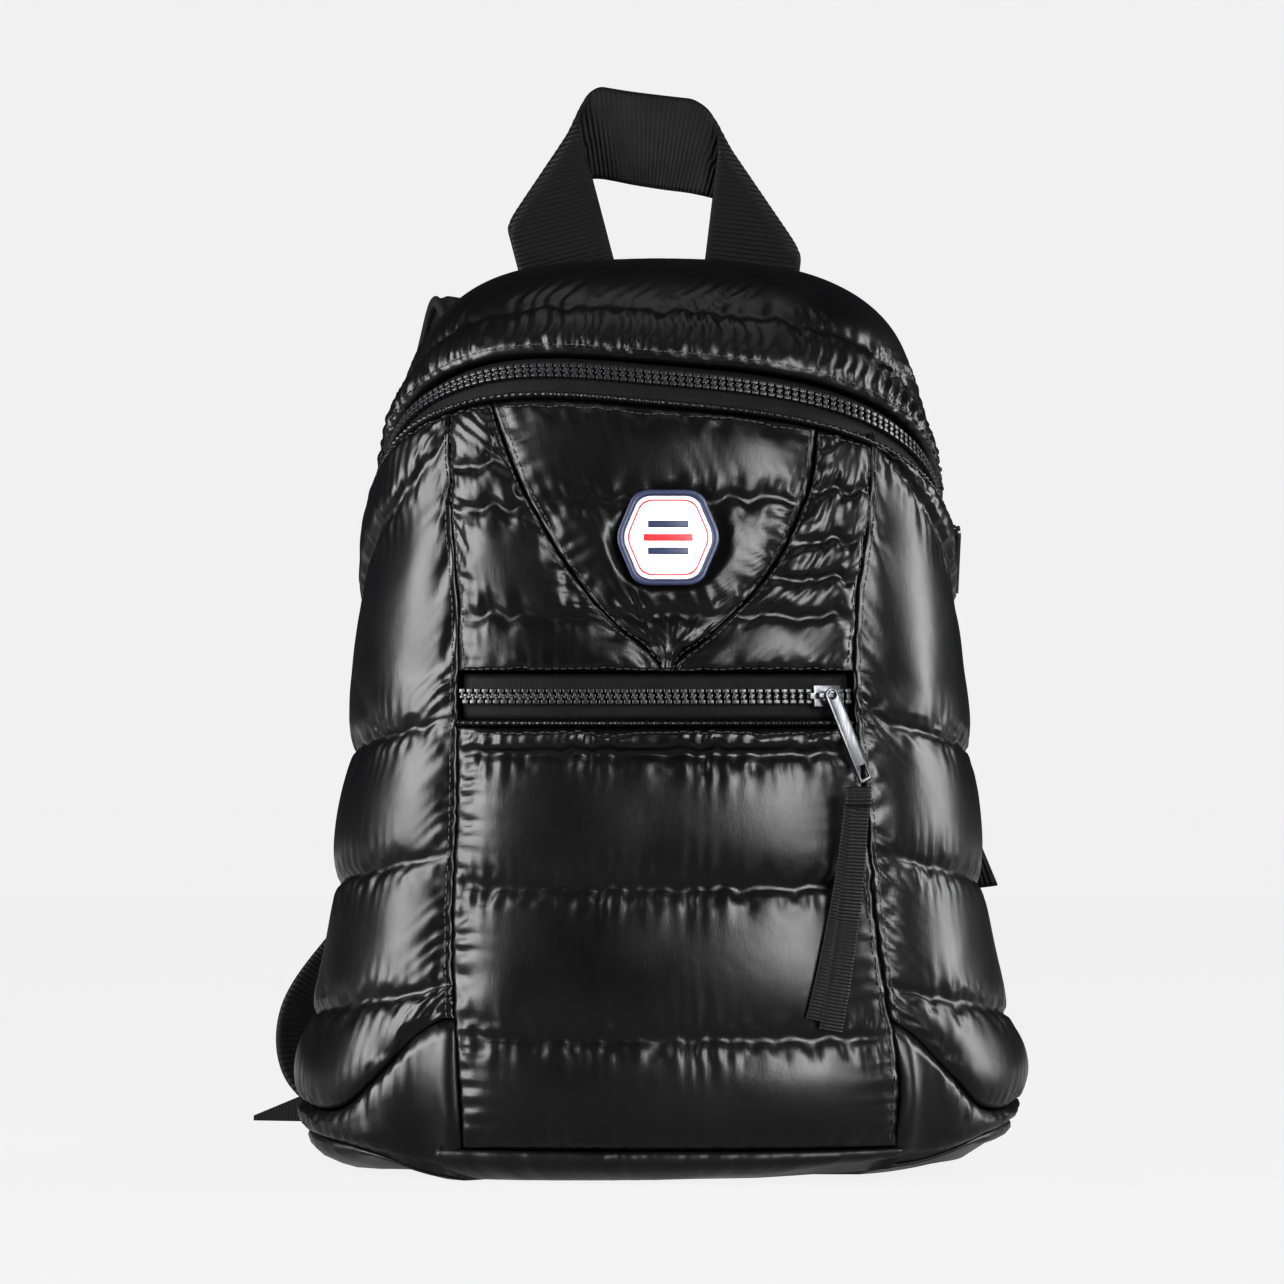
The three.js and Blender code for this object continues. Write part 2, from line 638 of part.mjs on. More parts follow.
function addPocketPull() {
  const { point, normal } = pocketZipFrame(POCKET_PULL_PLACE);
  const inward = normal.clone().negate();
  const up = vec(0, 0, 1).addScaledVector(normal, -normal.z).normalize();
  const along = inward.clone().cross(up).normalize();
  const base = point.clone().addScaledVector(normal, PLATE_LIFT);
  const level = { point: base, across: up.clone().negate(), out: inward };
  add('pocket_zip_slider', placed(sliderGeometry(), level), 'metal');
  const across = along.clone().multiplyScalar(Math.cos(PULLER_LEAN));
  across.addScaledVector(up, Math.sin(PULLER_LEAN)).normalize();
  if (across.x < 0) across.negate();
  const start = base.clone().addScaledVector(normal, PULLER_LIFT);
  const pullerFrame = { point: start, across, out: inward };
  add('pocket_zip_puller', placed(pullerGeometry(PULLER_LENGTH), pullerFrame), 'metal');
  const down = across.clone().cross(inward).normalize().negate();
  const ribbonStart = start.clone().addScaledVector(down, PULLER_LENGTH + 3 * FIT_GAP);
  const fall = (t) => {
    const x = ribbonStart.x - 0.16 * RIBBON_LENGTH * t + 3 * Math.sin(Math.PI * t);
    const z = ribbonStart.z - RIBBON_LENGTH * 0.985 * t;
    const surface = -reach(vec(x, 0, z), vec(0, -1, 0));
    return vec(x, Math.min(start.y, surface - PUFF - 2 * RIBBON_THICKNESS), z);
  };
  const ribbonFrame = (t) => ({ point: fall(t), normal: vec(0.1, -1, 0).normalize() });
  const frames = framesAlong(10, ribbonFrame).map((frame) => {
    frame.across.set(1, 0.1, 0).normalize();
    return frame;
  });
  const front = strip(frames, RIBBON_WIDTH, 2 * RIBBON_THICKNESS + 0.6);
  const knotBox = box(RIBBON_WIDTH + 2, 5, 12, ribbonStart.x, ribbonStart.y - 0.4, ribbonStart.z - 6.5);
  add('pocket_ribbon_pull', joined([front, knotBox]), 'webbing');
}

function addMainPull() {
  const { point, normal } = mainZipFrame(MAIN_PULL_PLACE);
  const next = mainZipFrame(1).point.sub(point).normalize();
  const inward = normal.clone().negate();
  const flat = next.addScaledVector(normal, -next.dot(normal)).normalize();
  const across = inward.clone().cross(flat).normalize();
  const base = point.clone().addScaledVector(normal, PLATE_LIFT);
  add('main_zip_slider', placed(sliderGeometry(), { point: base, across, out: inward }), 'metal');
  const start = base.clone().addScaledVector(normal, PULLER_LIFT);
  const down = vec(0, Math.sin(MAIN_PULLER_LEAN), -Math.cos(MAIN_PULLER_LEAN));
  down.addScaledVector(normal, -normal.dot(down)).normalize();
  const side = down.clone().cross(inward).normalize();
  const pullerFrame = { point: start, across: side, out: inward };
  add('main_zip_puller', placed(pullerGeometry(PULLER_LENGTH), pullerFrame), 'metal');
}

// Base: a tray with a flat bottom and a rolled edge up to the base seam
function addBasePanel() {
  const segments = 36;
  const ringAt = (height, inset) => {
    const ring = [];
    for (let i = 0; i < segments; i++) {
      const angle = (i / segments) * Math.PI * 2;
      const direction = vec(Math.sin(angle), -Math.cos(angle), 0);
      const origin = vec(0, 0, height);
      ring.push(origin.clone().addScaledVector(direction, reach(origin, direction) - inset));
    }
    return ring;
  };
  const top = BASE_SEAM_HEIGHT - SEAM_GAP / 2;
  const rings = [ringAt(0, 0), ringAt(top * 0.25, -0.5), ringAt(top * 0.6, -1), ringAt(top, 0),
    ringAt(top, WALL - 1.5), ringAt(top * 0.6, WALL + 1)];
  add('base_panel', ringSolid(rings), 'plain');
}

// Back: a padded panel inside the back seam
function addBackPanel() {
  const columns = 12;
  const rows = 14;
  const outer = [];
  const inner = [];
  for (let i = 0; i <= rows; i++) {
    const t = i / rows;
    const outerRow = [];
    const innerRow = [];
    for (let j = 0; j <= columns; j++) {
      const u = j / columns;
      const low = BASE_SEAM_HEIGHT + SEAM_GAP / 2;
      const sideLevel = t < 0.62 ? mix(low, TILT_START_HEIGHT, t / 0.62)
        : mix(TILT_START_HEIGHT, LEVEL_TOP, (t - 0.62) / 0.38);
      const left = surfacePoint(sideLevel, -1);
      const right = surfacePoint(sideLevel, 1);
      const top = surfacePoint(LEVEL_TOP, mix(-1, 1, u));
      const bottom = surfacePoint(low, -1).lerp(surfacePoint(low, 1), u);
      const cornerLeft = surfacePoint(LEVEL_TOP, -1);
      const cornerRight = surfacePoint(LEVEL_TOP, 1);
      const p = left.clone().lerp(right, u).add(bottom.clone().lerp(top, t))
        .sub(surfacePoint(low, -1).lerp(surfacePoint(low, 1), u).lerp(cornerLeft.lerp(cornerRight, u), t));
      const onRim = i === 0 || i === rows || j === 0 || j === columns;
      const origin = vec(p.x, 0, p.z);
      const behind = onRim ? p : origin.clone().add(vec(0, reach(origin, vec(0, 1, 0)), 0));
      behind.y = Math.max(behind.y, BACK_SEAM_Y);
      const normal = surfaceNormal(behind);
      const base = behind.clone();
      if (onRim) base.y += SEAM_GAP / 2;
      const puff = onRim ? 0 : BACK_PUFF;
      outerRow.push(base.clone().addScaledVector(normal, puff));
      const depth = onRim ? WALL - 2 : WALL;
      const inside = base.clone().addScaledVector(onRim ? normal : vec(0, 1, 0), -depth);
      innerRow.push(inside.setY(Math.max(inside.y, BACK_SEAM_Y + SEAM_GAP / 2)));
    }
    outer.push(outerRow);
    inner.push(innerRow);
  }
  add('back_panel', shellSolid(outer, inner), 'plain');
}

// Handle: one strap folded back on the slant at each side, its middle behind its legs.
// Each row holds the outer and inner edge: share of HANDLE_HALF_SPAN, share of HANDLE_HEIGHT.
const HANDLE_EDGES = [
  { outer: [1.00, 0.00], inner: [0.36, 0.00] },
  { outer: [1.00, 0.15], inner: [0.40, 0.36] },
  { outer: [0.97, 0.27], inner: [0.45, 0.86] },
];
const HANDLE_MIDDLE = [
  { outer: [0.26, 0.955], inner: [0.62, 0.40] },
  { outer: [0.00, 0.985], inner: [0.00, 0.50] },
];

function topHeight(x, y) {
  const origin = vec(x, y, BODY_HEIGHT * 0.6);
  return origin.z + reach(origin, vec(0, 0, 1));
}

function addHandle() {
  const base = topHeight(0, HANDLE_Y);
  const edgePoint = ([across, up], y) => vec(-across * HANDLE_HALF_SPAN, y, base + up * HANDLE_HEIGHT);
  const rows = [];
  const legY = HANDLE_Y;
  HANDLE_EDGES.forEach(({ outer, inner }, i) => {
    const pair = [edgePoint(outer, legY), edgePoint(inner, legY)];
    if (i === 0) {
      for (const p of pair) p.z = topHeight(p.x, legY - HANDLE_THICKNESS) + PUFF * 0.3 + FIT_GAP;
    }
    rows.push({ pair, out: vec(0, -1, 0) });
  });
  const [lowRidge, highRidge] = rows[2].pair;
  const ridge = highRidge.clone().sub(lowRidge).normalize();
  const away = vec(-ridge.z, 0, ridge.x);
  for (let i = 1; i <= 5; i++) {
    const angle = (i / 5) * Math.PI;
    const offset = away.clone().multiplyScalar(FOLD_RADIUS * Math.sin(angle))
      .add(vec(0, FOLD_RADIUS * (1 - Math.cos(angle)), 0));
    const out = away.clone().multiplyScalar(Math.sin(angle)).add(vec(0, -Math.cos(angle), 0));
    rows.push({ pair: [lowRidge.clone().add(offset), highRidge.clone().add(offset)], out });
  }
  for (const { outer, inner } of HANDLE_MIDDLE) {
    const y = legY + 2 * FOLD_RADIUS;
    rows.push({ pair: [edgePoint(inner, y), edgePoint(outer, y)], out: vec(0, 1, 0) });
  }
  const mirrored = rows.slice(0, -1).reverse().map(({ pair, out }) => ({
    pair: pair.map((p) => vec(-p.x, p.y, p.z)), out: vec(-out.x, out.y, out.z),
  }));
  const half = HANDLE_THICKNESS / 2;
  const rings = [...rows, ...mirrored].map(({ pair: [a, b], out }) => [
    a.clone().addScaledVector(out, -half), b.clone().addScaledVector(out, -half),
    b.clone().addScaledVector(out, half), a.clone().addScaledVector(out, half),
  ]);
  add('top_handle', ringSolid(rings), 'webbing');
}

// Shoulder strap paths: share of STRAP_SPAN out, share of STRAP_REACH behind the back,
// share of BODY_HEIGHT up. Each climbs the back panel, arches over and hangs down.
const STRAP_PATHS = {
  left: [
    [0.52, 0.17, 0.780],
    [0.54, 0.17, 0.850],
    [0.60, 0.22, 0.915],
    [0.66, 0.46, 0.958],
    [0.71, 0.78, 0.960],
    [0.76, 1.04, 0.920],
    [0.82, 1.13, 0.850],
    [0.88, 1.12, 0.740],
    [0.93, 1.02, 0.610],
    [0.97, 0.88, 0.490],
    [1.02, 0.74, 0.380],
  ],
  right: [
    [0.50, 0.17, 0.780],
    [0.51, 0.17, 0.840],
    [0.54, 0.22, 0.895],
    [0.58, 0.46, 0.932],
    [0.62, 0.78, 0.932],
    [0.67, 1.04, 0.896],
    [0.74, 1.13, 0.830],
    [0.82, 1.12, 0.730],
    [0.89, 1.02, 0.610],
    [0.94, 0.88, 0.490],
    [0.97, 0.74, 0.380],
  ],
};
const WEBBING_PATHS = {
  left: [[1.30, 0.60, 0.220], [1.43, 0.42, 0.150], [1.38, 0.24, 0.104]],
  right: [[1.06, 0.56, 0.220], [1.16, 0.38, 0.150], [1.22, 0.24, 0.104]],
};
const STRAP_END_WIDTH = 40;
const LOCK_HEIGHT = 24;
const LOCK_THICKNESS = 3.4;
const ANCHOR_OUT = 116;
const ANCHOR_HEIGHT = 27;

function strapPoint([out, behind, up], side) {
  return vec(side * out * STRAP_SPAN, BACK_DEPTH + BACK_PUFF + behind * STRAP_REACH, up * BODY_HEIGHT);
}

// Point on the puffed back panel, lifted off it by a gap
function backSeat(x, z, gap) {
  return vec(x, reach(vec(x, 0, z), vec(0, 1, 0)) + BACK_PUFF + gap, z);
}

function pathFrames(points, steps, acrossAt) {
  const curve = new THREE.CatmullRomCurve3(points, false, 'centripetal');
  const frames = [];
  for (let i = 0; i <= steps; i++) {
    const point = curve.getPoint(i / steps);
    const along = curve.getTangent(i / steps);
    const hint = acrossAt(i / steps);
    const across = hint.clone().addScaledVector(along, -hint.dot(along)).normalize();
    const out = across.clone().cross(along).normalize();
    frames.push({ point, across, out });
  }
  return frames;
}

function addStraps() {
  const steps = 30;
  for (const [name, side] of [['left', -1], ['right', 1]]) {
    const path = STRAP_PATHS[name].map((row) => strapPoint(row, side));
    const frames = pathFrames(path, steps, () => vec(1, 0, 0));
    const rings = frames.map((frame, i) => paddedRing(
      frame, mix(STRAP_WIDTH, STRAP_END_WIDTH, (i / steps) ** 2), STRAP_THICKNESS,
    ));
    add(`shoulder_strap_${name}`, ringSolid(rings), 'plain');
    const end = frames.at(-1);
    const down = end.out.clone().cross(end.across).normalize();
    const below = (distance) => end.point.clone().addScaledVector(down, distance);
    const lock = { point: below(FIT_GAP + LOCK_HEIGHT / 2), across: end.across, out: end.out };
    add(`ladder_lock_${name}`, placed(ladderLock(), lock), 'teeth');
    if (side > 0) addWebbingTail(lock);
    const webbingTop = LOCK_HEIGHT + 2 * FIT_GAP;
    const route = [below(webbingTop), below(webbingTop + WEBBING_WIDTH / 5),
      ...WEBBING_PATHS[name].map((row) => strapPoint(row, side)),
      backSeat(side * ANCHOR_OUT, ANCHOR_HEIGHT, FIT_GAP + WEBBING_THICKNESS)];
    const webbing = pathFrames(route, 14, (t) => vec(1, -side * 0.3 * t, 0));
    add(`strap_webbing_${name}`, strip(webbing, WEBBING_WIDTH, WEBBING_THICKNESS), 'webbing');
    add(`anchor_tab_${name}`, anchorTab(side, ANCHOR_TIPS[name]), 'plain');
  }
}

// Free end of the right webbing, from behind its lock out past the side
const TAIL_PATH = [[1, -0.4, -2.4], [17, -2, -2.2], [44.5, -7.6, -2.6]];

function addWebbingTail(lock) {
  const behind = LOCK_THICKNESS / 2 + FIT_GAP + WEBBING_THICKNESS / 2;
  const start = lock.point.clone().addScaledVector(lock.out, -behind);
  const path = TAIL_PATH.map((row) => start.clone().add(vec(...row)));
  const upright = lock.across.clone().cross(lock.out).normalize();
  const frames = pathFrames(path, 4, (t) => upright.clone().lerp(vec(-0.4, 0, 1), t));
  add('webbing_tail', strip(frames, WEBBING_WIDTH, WEBBING_THICKNESS), 'webbing');
}

function paddedRing({ point, across, out }, width, thickness) {
  const profile = [
    [-1, -0.35], [-0.86, -1], [0.86, -1], [1, -0.35], [1, 0.35], [0.86, 1], [-0.86, 1], [-1, 0.35],
  ];
  return profile.map(([a, b]) => point.clone()
    .addScaledVector(across, a * width / 2).addScaledVector(out, b * thickness / 2));
}

// Ladder lock: a frame with two slots
function ladderLock() {
  const frame = new THREE.Shape();
  const half = WEBBING_WIDTH / 2 + 4;
  const rise = LOCK_HEIGHT / 2;
  frame.moveTo(-half, -rise);
  frame.lineTo(half, -rise);
  frame.lineTo(half, rise);
  frame.lineTo(-half, rise);
  frame.closePath();
  const slotHalf = WEBBING_WIDTH / 2 + 0.8;
  for (const [low, high] of [[-rise * 0.66, -rise * 0.12], [rise * 0.12, rise * 0.66]]) {
    const slot = new THREE.Path();
    slot.moveTo(-slotHalf, low);
    slot.lineTo(-slotHalf, high);
    slot.lineTo(slotHalf, high);
    slot.lineTo(slotHalf, low);
    slot.closePath();
    frame.holes.push(slot);
  }
  const geometry = new THREE.ExtrudeGeometry(frame, { depth: LOCK_THICKNESS, bevelEnabled: false });
  return geometry.translate(0, 0, -LOCK_THICKNESS / 2).rotateX(Math.PI / 2);
}

// Anchor tab: a folded triangle of cloth that stands out from the back seam.
// Its tip is so far out and so far back from its root.
const ANCHOR_TIPS = { left: [28, 5], right: [6, 20] };
const TAB_DROP = 6;
const TAB_HEIGHT = 14;
const TAB_THICKNESS = 3;

function anchorTab(side, [outwards, backwards]) {
  const root = surfaceFrame(ANCHOR_HEIGHT - TAB_DROP, side).point;
  const across = vec(side * outwards, backwards, 0).cross(vec(0, 0, 1)).normalize();
  const start = vec(
    root.x + side * (FIT_GAP + Math.abs(across.x) * TAB_THICKNESS / 2),
    BACK_SEAM_Y - SEAM_GAP + FIT_GAP + Math.abs(across.y) * TAB_THICKNESS / 2,
    root.z,
  );
  const tip = vec(start.x + side * outwards, start.y + backwards, root.z - TAB_DROP);
  const ring = (p, half, thick) => [[-1, -1], [1, -1], [1, 1], [-1, 1]].map(
    ([a, b]) => p.clone().addScaledVector(across, a * thick).add(vec(0, 0, b * half)),
  );
  return ringSolid([ring(start, TAB_HEIGHT / 2, TAB_THICKNESS / 2), ring(tip, 1, TAB_THICKNESS / 3)]);
}

// Badge: a round-cornered six-sided patch that lies on the middle of the yoke
function addBadge() {
  const shape = new THREE.Shape();
  const [w, h] = [BADGE_WIDTH / 2, BADGE_HEIGHT / 2];
  const corners = [[-0.62, 1], [0.62, 1], [1, 0], [0.62, -1], [-0.62, -1], [-1, 0]]
    .map(([x, y]) => new THREE.Vector2(x * w, y * h));
  const round = 0.24;
  corners.forEach((corner, i) => {
    const before = corners[(i + 5) % 6];
    const after = corners[(i + 1) % 6];
    const into = corner.clone().lerp(before, round);
    const outOf = corner.clone().lerp(after, round);
    if (i === 0) shape.moveTo(into.x, into.y);
    else shape.lineTo(into.x, into.y);
    shape.quadraticCurveTo(corner.x, corner.y, outOf.x, outOf.y);
  });
  const { point, normal } = surfaceFrame(levelAtHeight(BADGE_PLACE, BADGE_SHARE), BADGE_SHARE);
  const geometry = new THREE.ExtrudeGeometry(shape, {
    depth: BADGE_THICKNESS, bevelEnabled: false, curveSegments: 4,
  });
  geometry.rotateX(Math.PI / 2);
  const across = vec(1, 0, 0).addScaledVector(normal, -normal.x).normalize();
  point.addScaledVector(normal, YOKE_PUFF * 0.5 + FIT_GAP + BADGE_THICKNESS);
  add('badge_patch', placed(geometry, { point, across, out: normal.clone().negate() }), 'badge');
}

addFrontPanels();
addSidePanels();
addTopGusset();
addZips();
addPocketPull();
addMainPull();
addBasePanel();
addBackPanel();
addHandle();
addStraps();
addBadge();

export default group;
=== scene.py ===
"""Looks for the quilted puffer backpack. Lengths below are millimetres unless a name says otherwise."""
import math
import bmesh
import bpy
import numpy as np
from mathutils import Matrix, Vector


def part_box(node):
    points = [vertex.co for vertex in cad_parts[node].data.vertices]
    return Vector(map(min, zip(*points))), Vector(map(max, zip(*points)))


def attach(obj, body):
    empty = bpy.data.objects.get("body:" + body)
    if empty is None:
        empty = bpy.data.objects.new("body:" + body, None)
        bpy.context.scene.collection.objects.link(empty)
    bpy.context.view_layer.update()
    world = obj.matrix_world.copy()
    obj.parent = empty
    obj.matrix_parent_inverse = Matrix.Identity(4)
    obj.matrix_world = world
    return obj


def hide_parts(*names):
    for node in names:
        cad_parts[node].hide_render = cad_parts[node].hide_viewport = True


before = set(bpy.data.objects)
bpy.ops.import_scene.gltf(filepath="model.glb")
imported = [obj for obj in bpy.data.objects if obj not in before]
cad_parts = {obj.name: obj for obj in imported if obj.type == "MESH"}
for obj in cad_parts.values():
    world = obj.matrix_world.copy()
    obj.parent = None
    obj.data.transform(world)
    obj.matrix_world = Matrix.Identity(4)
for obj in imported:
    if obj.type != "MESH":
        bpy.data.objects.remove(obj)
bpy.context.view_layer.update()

M = 0.001

# Body, as in the CAD
BODY_HEIGHT = 361.0
HALF_WIDTH = 146.0
FRONT_DEPTH = 80.0
BACK_DEPTH = 61.0
BACK_SEAM_Y = 46.0
TILT_START = 200.0
TILT_END = 0.88 * BODY_HEIGHT
LEVEL_TOP = 290
FRONT_ROUNDNESS = 2.5
BACK_ROUNDNESS = 4.5
SEAM_HALF = 78.0
BASE_SEAM = 14.0
CORNER_HEIGHT = 50.0
# Each row: share of the way round a side, then the height of the lower corner's bottom edge
LOW_EDGE = {
    -1: np.array([[0.00, 1.0], [0.10, 4.0], [0.20, 9.0], [0.35, 13.0], [0.60, 15.0], [1.00, 15.0]]),
    1: np.array([[0.00, 6.5], [0.15, 8.0], [0.25, 11.0], [0.38, 16.0], [0.55, 19.0], [1.00, 20.0]]),
}

# How much a side's quilt lines drop towards the back seam
SIDE_DROP = 22.0

# V seam and zips
V_HALF = 66.0
V_TIP = 202.0
V_TOP = 0.84 * BODY_HEIGHT
ZIP_TILT = 34.0
ZIP_HEIGHT = 189.0
SEAM_GAP = 0.8

# Trim
TAPE_WIDTH = 16.0
POCKET_TAPE = 18.0
TAPE_TOP = TAPE_WIDTH / 2 - 1.6
TAPE_BOTTOM = TAPE_TOP - TAPE_WIDTH
TAPE_RECESS = 3.5
TAPE_THICKNESS = 1.4
CHAIN_THICKNESS = 2.4
PIPING = 2.6
PIPING_POWER = 2 / 2.2
FIT_GAP = 0.35
EDGE_SHARE = 0.35
ZIP_END = 0.94
TAPE_END = 0.993
TOOTH_PITCH = 3.2
STITCH_PITCH = 3.0

# Quilting: the grid's step, the height of the puffs and the depth of the turned-in edges
STEP = 3.0
PUFF = 4.5
YOKE_PUFF = 3.4
GUSSET_PUFF = 3.0
CORNER_PUFF = 3.0
SHELL = 5.0
RIM_DEPTH = 1.6

# Each row, all as shares: height, left and right half width, front and back depth, where front meets back
SECTIONS = np.array([
    [0.000, 0.850, 0.815, 0.80, 0.93, 0.30],
    [0.014, 0.910, 0.890, 0.89, 0.97, 0.30],
    [0.039, 0.955, 0.950, 0.96, 0.99, 0.30],
    [0.080, 0.972, 0.985, 0.99, 1.00, 0.30],
    [0.115, 0.968, 0.995, 1.00, 1.00, 0.30],
    [0.160, 0.940, 0.958, 1.00, 1.00, 0.30],
    [0.247, 0.878, 0.894, 0.98, 1.00, 0.30],
    [0.360, 0.860, 0.866, 0.95, 1.00, 0.30],
    [0.450, 0.825, 0.846, 0.93, 1.00, 0.30],
    [0.560, 0.808, 0.815, 0.90, 1.00, 0.30],
    [0.720, 0.782, 0.791, 0.85, 1.00, 0.30],
    [0.812, 0.737, 0.743, 0.78, 1.00, 0.31],
    [0.875, 0.672, 0.686, 0.69, 0.98, 0.32],
    [0.918, 0.620, 0.648, 0.58, 0.95, 0.34],
    [0.948, 0.562, 0.585, 0.46, 0.90, 0.36],
    [0.968, 0.500, 0.510, 0.32, 0.84, 0.38],
    [0.984, 0.410, 0.410, 0.14, 0.76, 0.40],
    [0.995, 0.260, 0.260, -0.10, 0.64, 0.42],
    [1.000, 0.020, 0.020, -0.31, 0.45, 0.44],
])
# Each row: height, then the left and right seam's distance from the middle, as shares
VERTICAL_SEAMS = np.array([
    [0.00, 0.960, 1.170], [0.11, 0.985, 1.200], [0.21, 1.015, 1.130], [0.30, 1.020, 1.075],
    [0.40, 1.000, 1.040], [0.50, 1.000, 0.985], [0.62, 0.995, 0.990], [0.72, 1.030, 1.055],
    [0.90, 1.040, 1.075],
])

# Each row: share of the way up the V, then its left and right arm's distance from the middle, as shares
V_SEAM = np.array([
    [0.00, -0.030, 0.085], [0.06, 0.075, 0.215], [0.13, 0.210, 0.350], [0.23, 0.370, 0.510],
    [0.36, 0.520, 0.670], [0.50, 0.650, 0.790], [0.64, 0.770, 0.880], [0.80, 0.880, 0.930],
    [1.00, 0.980, 0.950],
])

# Each row: share of the way round a side, then the corner seam's height over the base seam, as a share
CORNER_SEAM = np.array([
    [0.00, 1.00], [0.08, 0.86], [0.18, 0.57], [0.30, 0.31], [0.42, 0.23], [0.60, 0.25], [1.00, 0.30],
])

# Each row: share of the way round the body, then the main zip's level past the tilt's start, as a share
ZIP_LINE = np.array([[-1.0, 1.10], [-0.7, 1.16], [-0.4, 1.10], [0.0, 1.00], [0.4, 0.97], [1.0, 1.00]])

# Quilt lines, as shares of the body's height, and the gusset's as a share of its depth
POCKET_LINES = [0.158, 0.319, 0.463]
SIDE_LINES = [0.216, 0.360, 0.506, 0.646]
YOKE_LINES = {
    "yoke_center": [0.61, 0.735],
    "yoke_left": [0.61, 0.726, 0.772],
    "yoke_right": [0.61, 0.65, 0.69, 0.744],
}
GUSSET_LINE = 0.15

# Waves of real sewing: a seam's in share and a quilt line's in level, and how closely they follow each other
SEAM_WOBBLE = 0.0024
SEAM_WAVES = 0.3
LINE_WOBBLE = 0.7
LINE_WAVES = 38

# Step in share that slopes are read over
NEARBY = 0.01


def read_table(table, key, column):
    """Smooth reading of one column of a table whose first column rises."""
    key = np.asarray(key, float)
    last = len(table) - 1
    i = np.searchsorted(table[1:last, 0], key, side="left")
    before = table[np.maximum(i - 1, 0)]
    a = table[i]
    b = table[i + 1]
    after = table[np.minimum(i + 2, last)]
    span = b[..., 0] - a[..., 0]
    t = np.clip((key - a[..., 0]) / span, 0, 1)
    slope_a = (b[..., column] - before[..., column]) / (b[..., 0] - before[..., 0]) * span
    slope_b = (after[..., column] - a[..., column]) / (after[..., 0] - a[..., 0]) * span
    t2 = t * t
    t3 = t2 * t
    start = (2 * t3 - 3 * t2 + 1) * a[..., column] + (t3 - 2 * t2 + t) * slope_a
    return start + (3 * t2 - 2 * t3) * b[..., column] + (t3 - t2) * slope_b


HEIGHTS = np.linspace(0, 1, 1445)
PROFILE = [read_table(SECTIONS, HEIGHTS, column) if column else HEIGHTS for column in range(6)]


def body_field(x, y, z):
    """Under 1 inside the seam-level body and over 1 outside it."""
    key = np.clip(z / BODY_HEIGHT, 0, 1)
    left = np.interp(key, HEIGHTS, PROFILE[1])
    right = np.interp(key, HEIGHTS, PROFILE[2])
    width = np.maximum(HALF_WIDTH * np.where(x < 0, left, right), 1)
    middle = BACK_DEPTH * np.interp(key, HEIGHTS, PROFILE[5])
    front = y < middle
    front_edge = -FRONT_DEPTH * np.interp(key, HEIGHTS, PROFILE[3])
    back_edge = BACK_DEPTH * np.interp(key, HEIGHTS, PROFILE[4])
    depth = np.maximum(np.abs(np.where(front, front_edge, back_edge) - middle), 1)
    power = np.where(front, FRONT_ROUNDNESS, BACK_ROUNDNESS)
    value = np.abs(x / width) ** power + np.abs((y - middle) / depth) ** power
    return np.where((z < -1) | (z > BODY_HEIGHT), 9, value)


def reach(origin, direction):
    """Distances from points inside the body to its surface along unit directions."""
    origin, direction = np.broadcast_arrays(np.asarray(origin, float), np.asarray(direction, float))
    low = np.zeros(origin.shape[:-1])
    high = np.full(origin.shape[:-1], 2.4 * HALF_WIDTH)
    for _ in range(30):
        middle = (low + high) / 2
        p = origin + direction * middle[..., None]
        inside = body_field(p[..., 0], p[..., 1], p[..., 2]) < 1
        low = np.where(inside, middle, low)
        high = np.where(inside, high, middle)
    return low


def unit(v):
    """Vectors scaled to length 1."""
    return v / np.maximum(np.linalg.norm(v, axis=-1, keepdims=True), 1e-9)


def run_length(points, axis=0):
    """How far along its path, or along its row or column of a grid, each point lies."""
    steps = np.cumsum(np.linalg.norm(np.diff(points, axis=axis), axis=-1), axis=axis)
    start = np.zeros_like(np.take(steps, [0], axis=axis))
    return np.concatenate([start, steps], axis=axis)


def ease(t):
    """From 0 to 1 with a soft start and a soft end."""
    return t * t * (3 - 2 * t)


def evened(values, window):
    """Values averaged over a bell-shaped window of an odd number of places."""
    bell = np.hanning(window)
    return np.convolve(np.pad(values, window // 2, mode="edge"), bell / bell.sum(), mode="valid")


def body_normal(p):
    """The way that the body's surface faces at points on it."""
    e = 0.5
    x, y = p[..., 0], p[..., 1]
    z = np.clip(p[..., 2], e, BODY_HEIGHT - e)
    n = np.stack([
        body_field(x + e, y, z) - body_field(x - e, y, z),
        body_field(x, y + e, z) - body_field(x, y - e, z),
        body_field(x, y, np.minimum(z + e, BODY_HEIGHT)) - body_field(x, y, z - e),
    ], -1)
    return unit(n)


SHARE_STEPS = 400
ANGLE_STEPS = 160
SHARES = np.linspace(-1, 1, SHARE_STEPS + 1)
LEVELS = np.arange(0, LEVEL_TOP + 1, dtype=float)


